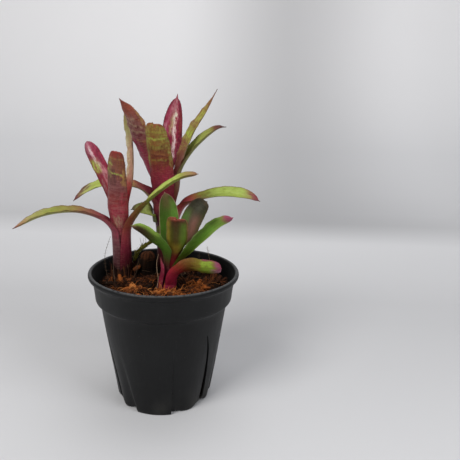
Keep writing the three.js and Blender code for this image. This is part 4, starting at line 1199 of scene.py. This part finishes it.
def build_fibres():
    rng = random.Random(SEEDS["fibres"])
    heap = Heap()
    for k in range(FIBRE_COUNT):
        x, y = scatter(rng, 39, 0.6)
        length = rng.choice((rng.uniform(3, 7), rng.uniform(6, 15)))
        heading = rng.uniform(0, 6.28)
        turn = rng.gauss(0, 0.5)
        lift = rng.uniform(0.2, 1.6) if rng.random() < 0.65 else rng.uniform(1.6, 4.5)
        steps = 9
        path = []
        for i in range(steps):
            share = i / (steps - 1)
            px, py = x, y
            if i:
                heading_now = heading + turn * share
                px = path[-1][0] + length / steps * math.cos(heading_now)
                py = path[-1][1] + length / steps * math.sin(heading_now)
            if math.hypot(px, py) > 42.5 or not is_free(px, py, 0.3):
                break
            rise = lift * share + 0.5 + rng.uniform(-0.15, 0.15)
            path.append((px, py, surface(px, py) + rise))
        if len(path) < 4:
            continue
        tone = min(1, tone_at(x, y, rng, 0.26) + 0.1)
        add_thread(heap, path, rng.choice((0.08, 0.12, 0.16, 0.26)), tone, 5.3 * k)
    for k in range(CLUMP_FIBRES):
        cx, cy, wide, deep, strength = CLUMPS[k % FRESHEST]
        x, y = cx + rng.gauss(0, 0.5) * wide, cy + rng.gauss(0, 0.5) * deep
        if math.hypot(x, y) > 41 or not is_free(x, y, 0.3):
            continue
        heading, length, lift = rng.gauss(0.1, 0.6), rng.uniform(1.5, 5.5), rng.uniform(-0.4, 1.4)
        run = np.array([math.cos(heading), math.sin(heading), 0]) * length / 2
        middle = np.array([x, y, surface(x, y) + rng.uniform(0.6, 1.5)])
        bow = np.array([0, 0, rng.uniform(0.1, 0.7)])
        path = [middle + run * s + bow * (1 - s * s) + (0, 0, lift * s / 2) for s in np.linspace(-1, 1, 6)]
        if math.hypot(*path[0][:2]) < 43 and math.hypot(*path[-1][:2]) < 43:
            thick = rng.choice((0.09, 0.14, 0.2))
            add_thread(heap, path, thick, rng.uniform(0.35, 1) * strength, 4.3 * k, sides=4)
    for k, (x, y, height, lean, thick, tone) in enumerate(UPRIGHTS):
        foot = np.array([x, y, soil_level(x, y) - 0.5])
        path = [foot + (lean * s * s, 0.3 * lean * s, height * s) for s in np.linspace(0, 1, 7)]
        add_thread(heap, path, thick, tone, 8.9 * k, taper=0.5)
    heap.piece("coir_fibres", coir_material("coir_fibres", COIR_STOPS, bump_mm=0.1), "coir")


build_bed()
build_chips()
build_crumbs()
build_fibres()


# ---- husk chunk, stolon, stems and hairs -----------------------------------------------------------------
HUSK_OUTLINE = [(0.01, 72), (3, 72), (5.4, 72.2), (6.2, 78), (6.5, 84), (6.4, 88), (6.1, 93), (5.2, 97.5),
                (4, 100), (2.4, 101), (0.01, 101.2)]
HUSK_STOPS = "0a0604 0, 180e08 35, 2c190e 60, 4e2c1a 80, 7c6852 100"
STOLON_ROUTE = [(-23.4, 13.4, 76), (-23.4, 13.5, 82), (-23.4, 13.9, 90), (-21.8, 15.6, 97.5),
                (-17.2, 18.9, 102), (-12.8, 22, 104.6), (-9.3, 24, 105.8)]
STOLON_RADIUS = 1.3
HUSK_THREADS = 46
STOLON_SCALES = 15
STOLON_HAIRS = 46
DEAD_SCALES = 46


def build_husk():
    rng = random.Random(SEEDS["husk"])
    columns, rows = 72, 70
    outline = Route([(radius, 0, height) for radius, height in HUSK_OUTLINE])
    vertices, tones, flats = [], [], []
    ridges = [rng.uniform(-0.5, 0.35) for _ in range(columns)]
    for i in range(rows):
        radius, _, height = outline.at(0.001 + 0.998 * i / (rows - 1))
        for j in range(columns):
            angle = 2 * math.pi * j / columns
            ragged = noise.noise(Vector((math.cos(angle) * 2.2, math.sin(angle) * 2.2, height * 0.14)))
            reach = radius + min(1, radius / 4) * (0.45 * ridges[j] + 0.75 * ragged)
            x, y = polar(max(0.01, reach), angle)
            vertices.append((HUSK_CENTRE[0] + x, HUSK_CENTRE[1] + y, height + 0.5 * ragged))
            # The column is dark, partly for its wet husk and partly as painted shade, and browner near its
            # top.
            tones.append(0.28 + 0.1 * ridges[j] + 0.3 * ragged + 0.42 * float(smooth(height, 95, 98.5)))
            flats.append((6.2 * angle, height, 0.0))
    heap = Heap()
    heap.points, heap.tones, heap.flats = vertices, tones, flats
    heap.faces = tube_faces(rows, columns)
    for k in range(HUSK_THREADS):
        middle, reach = rng.uniform(-3.1, 3.1), rng.uniform(0.25, 0.9)
        tilt = rng.gauss(0, 0.8)
        height = 79 + 17 * (k + rng.random()) / HUSK_THREADS
        path = []
        for turn in np.linspace(-reach, reach, 9):
            level = height + 2.6 * math.cos(turn * 1.2) + tilt * turn
            wide = np.interp(level, [72, 93, 97.5, 101], [6.4, 6.2, 5.1, 2.4]) + rng.uniform(0.35, 0.7)
            angle = middle + turn
            x, y = polar(wide, angle)
            path.append((HUSK_CENTRE[0] + x, HUSK_CENTRE[1] + y, level))
        thick, tone = rng.choice((0.07, 0.1, 0.14)), rng.choice((0.55, 0.75, 0.92))
        add_thread(heap, path, thick, tone, 3.3 * k, sides=4)
    heap.piece("husk_column", coir_material("husk", HUSK_STOPS), "husk", replaces=["husk_chunk"])


def scale_shell(base, out, up, length, width, lean):
    """A pointed scale that clasps what it grows from, as points and faces."""
    rows = []
    for i in range(9):
        share = i / 8
        at = base + up * length * share * math.cos(lean) + out * (0.25 + length * math.sin(lean) * share**1.6)
        rows.append(at)
    sections = []
    for i, at in enumerate(rows):
        share = i / 8
        tangent = unit(rows[min(i + 1, 8)] - rows[max(i - 1, 0)])
        face = unit(-out - (-out).dot(tangent) * tangent)
        half = max(0.07, width / 2 * (1 - share**1.5) ** 0.8)
        row = dict(at=at, tangent=tangent, face=face, side=np.cross(face, tangent), open=0, half=half,
                   bend=lerp(1.2, 0.5, share), thick=0.24, margin_thick=0.12)
        sections.append(section(row, 6))
    return np.vstack(sections), blade_faces(9, 6)


def build_stolon():
    rng = random.Random(SEEDS["stolon"])
    route = Route(STOLON_ROUTE)
    heap = Heap()
    path = [route.at(i / 40) for i in range(41)]
    radii = [STOLON_RADIUS * (0.92 + 0.1 * math.sin(i * 1.1)) for i in range(41)]
    points, faces = tube(path, radii, 14)
    heap.add(points, faces, 0.35, along_tube(path, 14), 0)
    heap.tones = [0.42 * float(smooth(point[2], 88, 97)) for point in points]
    for k in range(STOLON_SCALES):
        share = 0.3 + 0.6 * k / (STOLON_SCALES - 1)
        up = route.tangent(share)
        angle = 2.4 * k
        across = unit(np.cross(up, (0.2, 1.0, 0.3)))
        out = math.cos(angle) * across + math.sin(angle) * np.cross(up, across)
        base = route.at(share) + out * (STOLON_RADIUS * 0.75)
        local, scale_faces = scale_shell(base, out, up, rng.uniform(3.6, 5.2), 3.2, rng.uniform(0.12, 0.42))
        fresh = 0.15 + 0.85 * float(smooth(base[2], 88, 97))
        heap.add(local, scale_faces, fresh * rng.uniform(0.35, 0.85), local, 4.1 * k)
    for k in range(STOLON_HAIRS):
        share = rng.uniform(0.3, 0.95)
        up = route.tangent(share)
        across = unit(np.cross(up, (0.2, 1.0, 0.3)))
        angle = rng.uniform(0, 6.28)
        out = math.cos(angle) * across + math.sin(angle) * np.cross(up, across)
        at = route.at(share) + out * STOLON_RADIUS * 0.9
        length = rng.choice((rng.uniform(1.2, 2.6), rng.uniform(3, 5.5)))
        rise = np.array([rng.uniform(-0.5, 0.6), 0.0, 0.9])
        lean = out * 0.6 + rise * 0.7
        hair = [at + lean * length * s + rise * 0.4 * s * s for s in np.linspace(0, 1, 5)]
        add_thread(heap, hair, 0.13, rng.choice((0.3, 0.75, 1)), 2.7 * k, sides=4, taper=0.25)
    stops = "2c1416 0, 4a2c1a 18, 6a6424 35, 8c8a34 60, 9c9654 80, c4c0a4 100"
    material = coir_material("stolon", stops, (0.5, 0.8), 0.2)
    heap.piece("stolon_scales", material, "dry_scale", replaces=["stolon"])


def build_dead_scales():
    """A rough collar of dead brown scales, which clasps the foot of the left shoot."""
    rng = random.Random(SEEDS["dead_scales"])
    shoot = SHOOTS["left"]
    heap = Heap()
    for k in range(DEAD_SCALES):
        height = 81 + 7.5 * rng.random()
        angle = 2.4 * k
        out = np.array([math.cos(angle), math.sin(angle), 0])
        base = axis_point(shoot, height) + out * rng.uniform(7.3, 7.9)
        lean, length = rng.uniform(-0.02, 0.14), rng.uniform(4, 8.5)
        local, faces = scale_shell(base, out, axis_direction(shoot), length, rng.uniform(2.4, 5.5), lean)
        heap.add(local, faces, rng.uniform(0.05, 0.7), local, 3.7 * k)
        if k % 3 == 0:
            top = base + np.array([0, 0, rng.uniform(4, 9)]) + out * rng.uniform(-0.2, 0.8)
            sway = np.array([rng.uniform(-1, 1), 0, 0])
            path = [base, lerp(base, top, 0.5) + sway * 0.4, top + sway]
            add_thread(heap, path, 0.11, rng.uniform(0.5, 1), 2.3 * k)
    stops = "120a08 0, 2a1611 30, 422619 55, 6a4024 80, a08668 100"
    heap.piece("dead_scales", coir_material("dead_scales", stops, (0.7, 0.9), 0.3), "dry_scale")


def build_hairs():
    """Loose roots, a string and thin barbed hairs, which lie on the substrate and against the shoots."""
    rng = random.Random(SEEDS["hairs"])
    heap = Heap()
    for k, (start, end, lean, barbs) in enumerate(HAIRS):
        points = curve_through([start, lean, end], 14)
        path = points[::2]
        add_thread(heap, path, 0.13, 0.3 + 0.15 * (k % 3), 9.1 * k, sides=5)
        for at in path[2:-2] if barbs else ():
            for sign in (-1, 1):
                side = sign * rng.uniform(0.7, 1.3)
                reach = np.array([side, rng.uniform(-0.4, 0.4), rng.uniform(0.1, 0.7)])
                add_thread(heap, [at, at + reach * 0.5, at + reach], 0.05, 0.45, 1.9, sides=4, taper=0.3)
    add_thread(heap, curve_through(STRING, 16)[::2], 0.2, 0.66, 3.1, sides=7, taper=0.9)
    stops = "1e1712 0, 4a3c30 35, 9a8068 70, b8a890 100"
    heap.piece("root_hairs", coir_material("root_hairs", stops, (0.6, 0.85), 0.08), "coir")


HAIRS = [
    ((-36.4, -10, 84.9), (-36.1, -2, 114.7), (-39.6, -5, 101), True),
    ((-31.6, -10, 82.9), (-34.4, -4, 98.5), (-33.5, -6, 89), False),
    ((30.4, 12, 95), (28, 14, 105.6), (29, 13, 101), True),
    ((20, 12, 92), (23, 10, 101.5), (22.6, 10, 97), True),
    ((13, 2, 84.5), (9, 10, 92), (10.5, 5, 88), False),
    ((15, 4, 84.5), (13, 12, 91), (13.2, 7, 88), False),
    ((-22, -8, 84), (-19, 6, 97), (-18.5, -3, 91), False),
    ((-30, -12, 83), (-37, -14, 86), (-34, -13, 85), False),
]
STRING = [(-2.8, -19, 84.2), (-2.7, -12, 89), (-4.2, -7, 92.8), (-5.2, -1, 97.2), (-4.5, 3, 101.7)]


def stem_material():
    graph = Graph("stem", specular_ior_level=0.3)
    place = graph.place()
    streak = graph.noise(place, (0.9, 0.9, 0.12), 3, 0.6)
    colour = graph.ramp(streak, "1d120b 20, 3a2716 50, 5c4628 75, 6e6a3a 100")
    return graph.finish(colour, 0.75, streak, 0.4)


build_husk()
build_stolon()
build_dead_scales()
build_hairs()
stem_look = stem_material()
for shoot_name in SHOOTS:
    stem = bpy.data.objects[f"stem_{shoot_name}"]
    stem.data.materials.clear()
    stem.data.materials.append(stem_look)


# ---- camera, stage and light -----------------------------------------------------------------------------
CAMERA_PLACE = (43.8, -344.2, 210.7)
CAMERA_PITCH = 14.57  # degrees down
CAMERA_ROLL = 2.04
CAMERA_LENS = 41.478
SENSOR_WIDTH = 36
CLIP_START = 0.01


def place_camera():
    pitch, roll = math.radians(CAMERA_PITCH), math.radians(CAMERA_ROLL)
    forward = Vector((0, math.cos(pitch), -math.sin(pitch)))
    right, up = Vector((1, 0, 0)), Vector((0, math.sin(pitch), math.cos(pitch)))
    image_x = math.cos(roll) * right + math.sin(roll) * up
    image_y = -math.sin(roll) * right + math.cos(roll) * up
    data = bpy.data.cameras.new("camera")
    data.sensor_width = SENSOR_WIDTH
    data.lens = CAMERA_LENS
    data.clip_start = CLIP_START
    camera = placed("camera", data)
    turn = Matrix((image_x, image_y, -forward)).transposed()
    camera.matrix_world = Matrix.Translation(Vector(CAMERA_PLACE) * MM) @ turn.to_4x4()
    bpy.context.scene.camera = camera


# Greys from the front of the floor, over the crease at 56 % where the wall begins, to the top of the wall,
# painted lighter and darker for how the light falls off, with painted shade at the crease.
PAPER_LIGHT_AND_SHADE = (
    "cacacc 0, cacacc 25, c4c4c6 31, c1c1c3 36, c2c2c4 39, cdcdcf 44, d9d9db 52, "
    "cacacc 59, d3d3d5 64, e2e2e4 80, fffeff 93"
)


SWEEP_PLACES = (-2200, -700, 0, 700, 2200)
SWEEP_RADIUS = 500
SWEEP_START = 620  # where the floor begins to curve up
WALL_SHADOW_CODE = "8c8c8e"


def sweep():
    """A floor that curves up into a backdrop behind the part."""
    profile = [(-1600, 0), (-400, 0), (0, 0), (300, 0), (SWEEP_START, 0)]
    for angle in np.linspace(0.1, 1.35, 14):
        rise = SWEEP_RADIUS - SWEEP_RADIUS * math.cos(angle)
        profile.append((SWEEP_START + SWEEP_RADIUS * math.sin(angle), rise))
    profile += [(1190, 900), (1330, 1700)]
    vertices = [(x, y, z) for y, z in profile for x in SWEEP_PLACES]
    mesh = bpy.data.meshes.new("sweep")
    mesh.from_pydata((np.array(vertices) * MM).tolist(), [], grid_faces(len(profile), 5))
    mesh.polygons.foreach_set("use_smooth", [True] * len(mesh.polygons))
    graph = Graph("paper", specular_ior_level=0.2)
    place = graph.place()
    split = graph.node("SeparateXYZ", place)
    side, depth = split.outputs["X"], split.outputs["Y"]
    far = graph.span(depth, -500.0, 1250.0, 0.0, 1.0)
    cloud = graph.noise(place, (0.004, 0.004, 0.004), 2)
    colour = graph.ramp(graph.sway(far, cloud, 0.012), PAPER_LIGHT_AND_SHADE)
    # Painted shadow: a soft darker patch on the wall behind the plant.
    middle = graph.times(graph.window(side, 20, 330, 170, 0.44), graph.window(depth, 470, 1300, 90))
    colour = graph.paint(colour, middle, WALL_SHADOW_CODE)
    mesh.materials.append(graph.finish(colour, 0.85, graph.noise(place, (0.6, 0.6, 0.6), 2), 0.05))
    backdrop = placed("sweep", mesh)


LIGHT_TARGET = Vector((0, 0, 0.09))


def softbox(name, at, size, energy, colour):
    light = bpy.data.lights.new(name, "AREA")
    light.size = size
    light.energy = energy
    light.color = colour
    lamp = placed(name, light)
    lamp.location = at
    lamp.rotation_euler = (LIGHT_TARGET - Vector(at)).to_track_quat("-Z", "Y").to_euler()


# Soft lamps as (name, place and size in metres, watts, colour).
LAMPS = [
    ("key", (-0.55, -0.75, 1.0), 0.55, 11.3, (1, 0.985, 0.96)),
    ("second", (0.75, -0.55, 0.85), 0.5, 4.7, (0.97, 0.98, 1)),
    ("top", (0.1, 0.35, 1.3), 0.9, 4.5, (1, 1, 1)),
]
ROOM_COLOUR = (0.9, 0.92, 0.95, 1)
ROOM_STRENGTH = 0.28


def light_scene():
    for lamp in LAMPS:
        softbox(*lamp)
    world = bpy.data.worlds.new("room")
    world.use_nodes = True
    background = world.node_tree.nodes["Background"]
    background.inputs["Color"].default_value = ROOM_COLOUR
    background.inputs["Strength"].default_value = ROOM_STRENGTH
    bpy.context.scene.world = world
    bpy.context.scene.view_settings.view_transform = "Standard"


place_camera()
sweep()
light_scene()
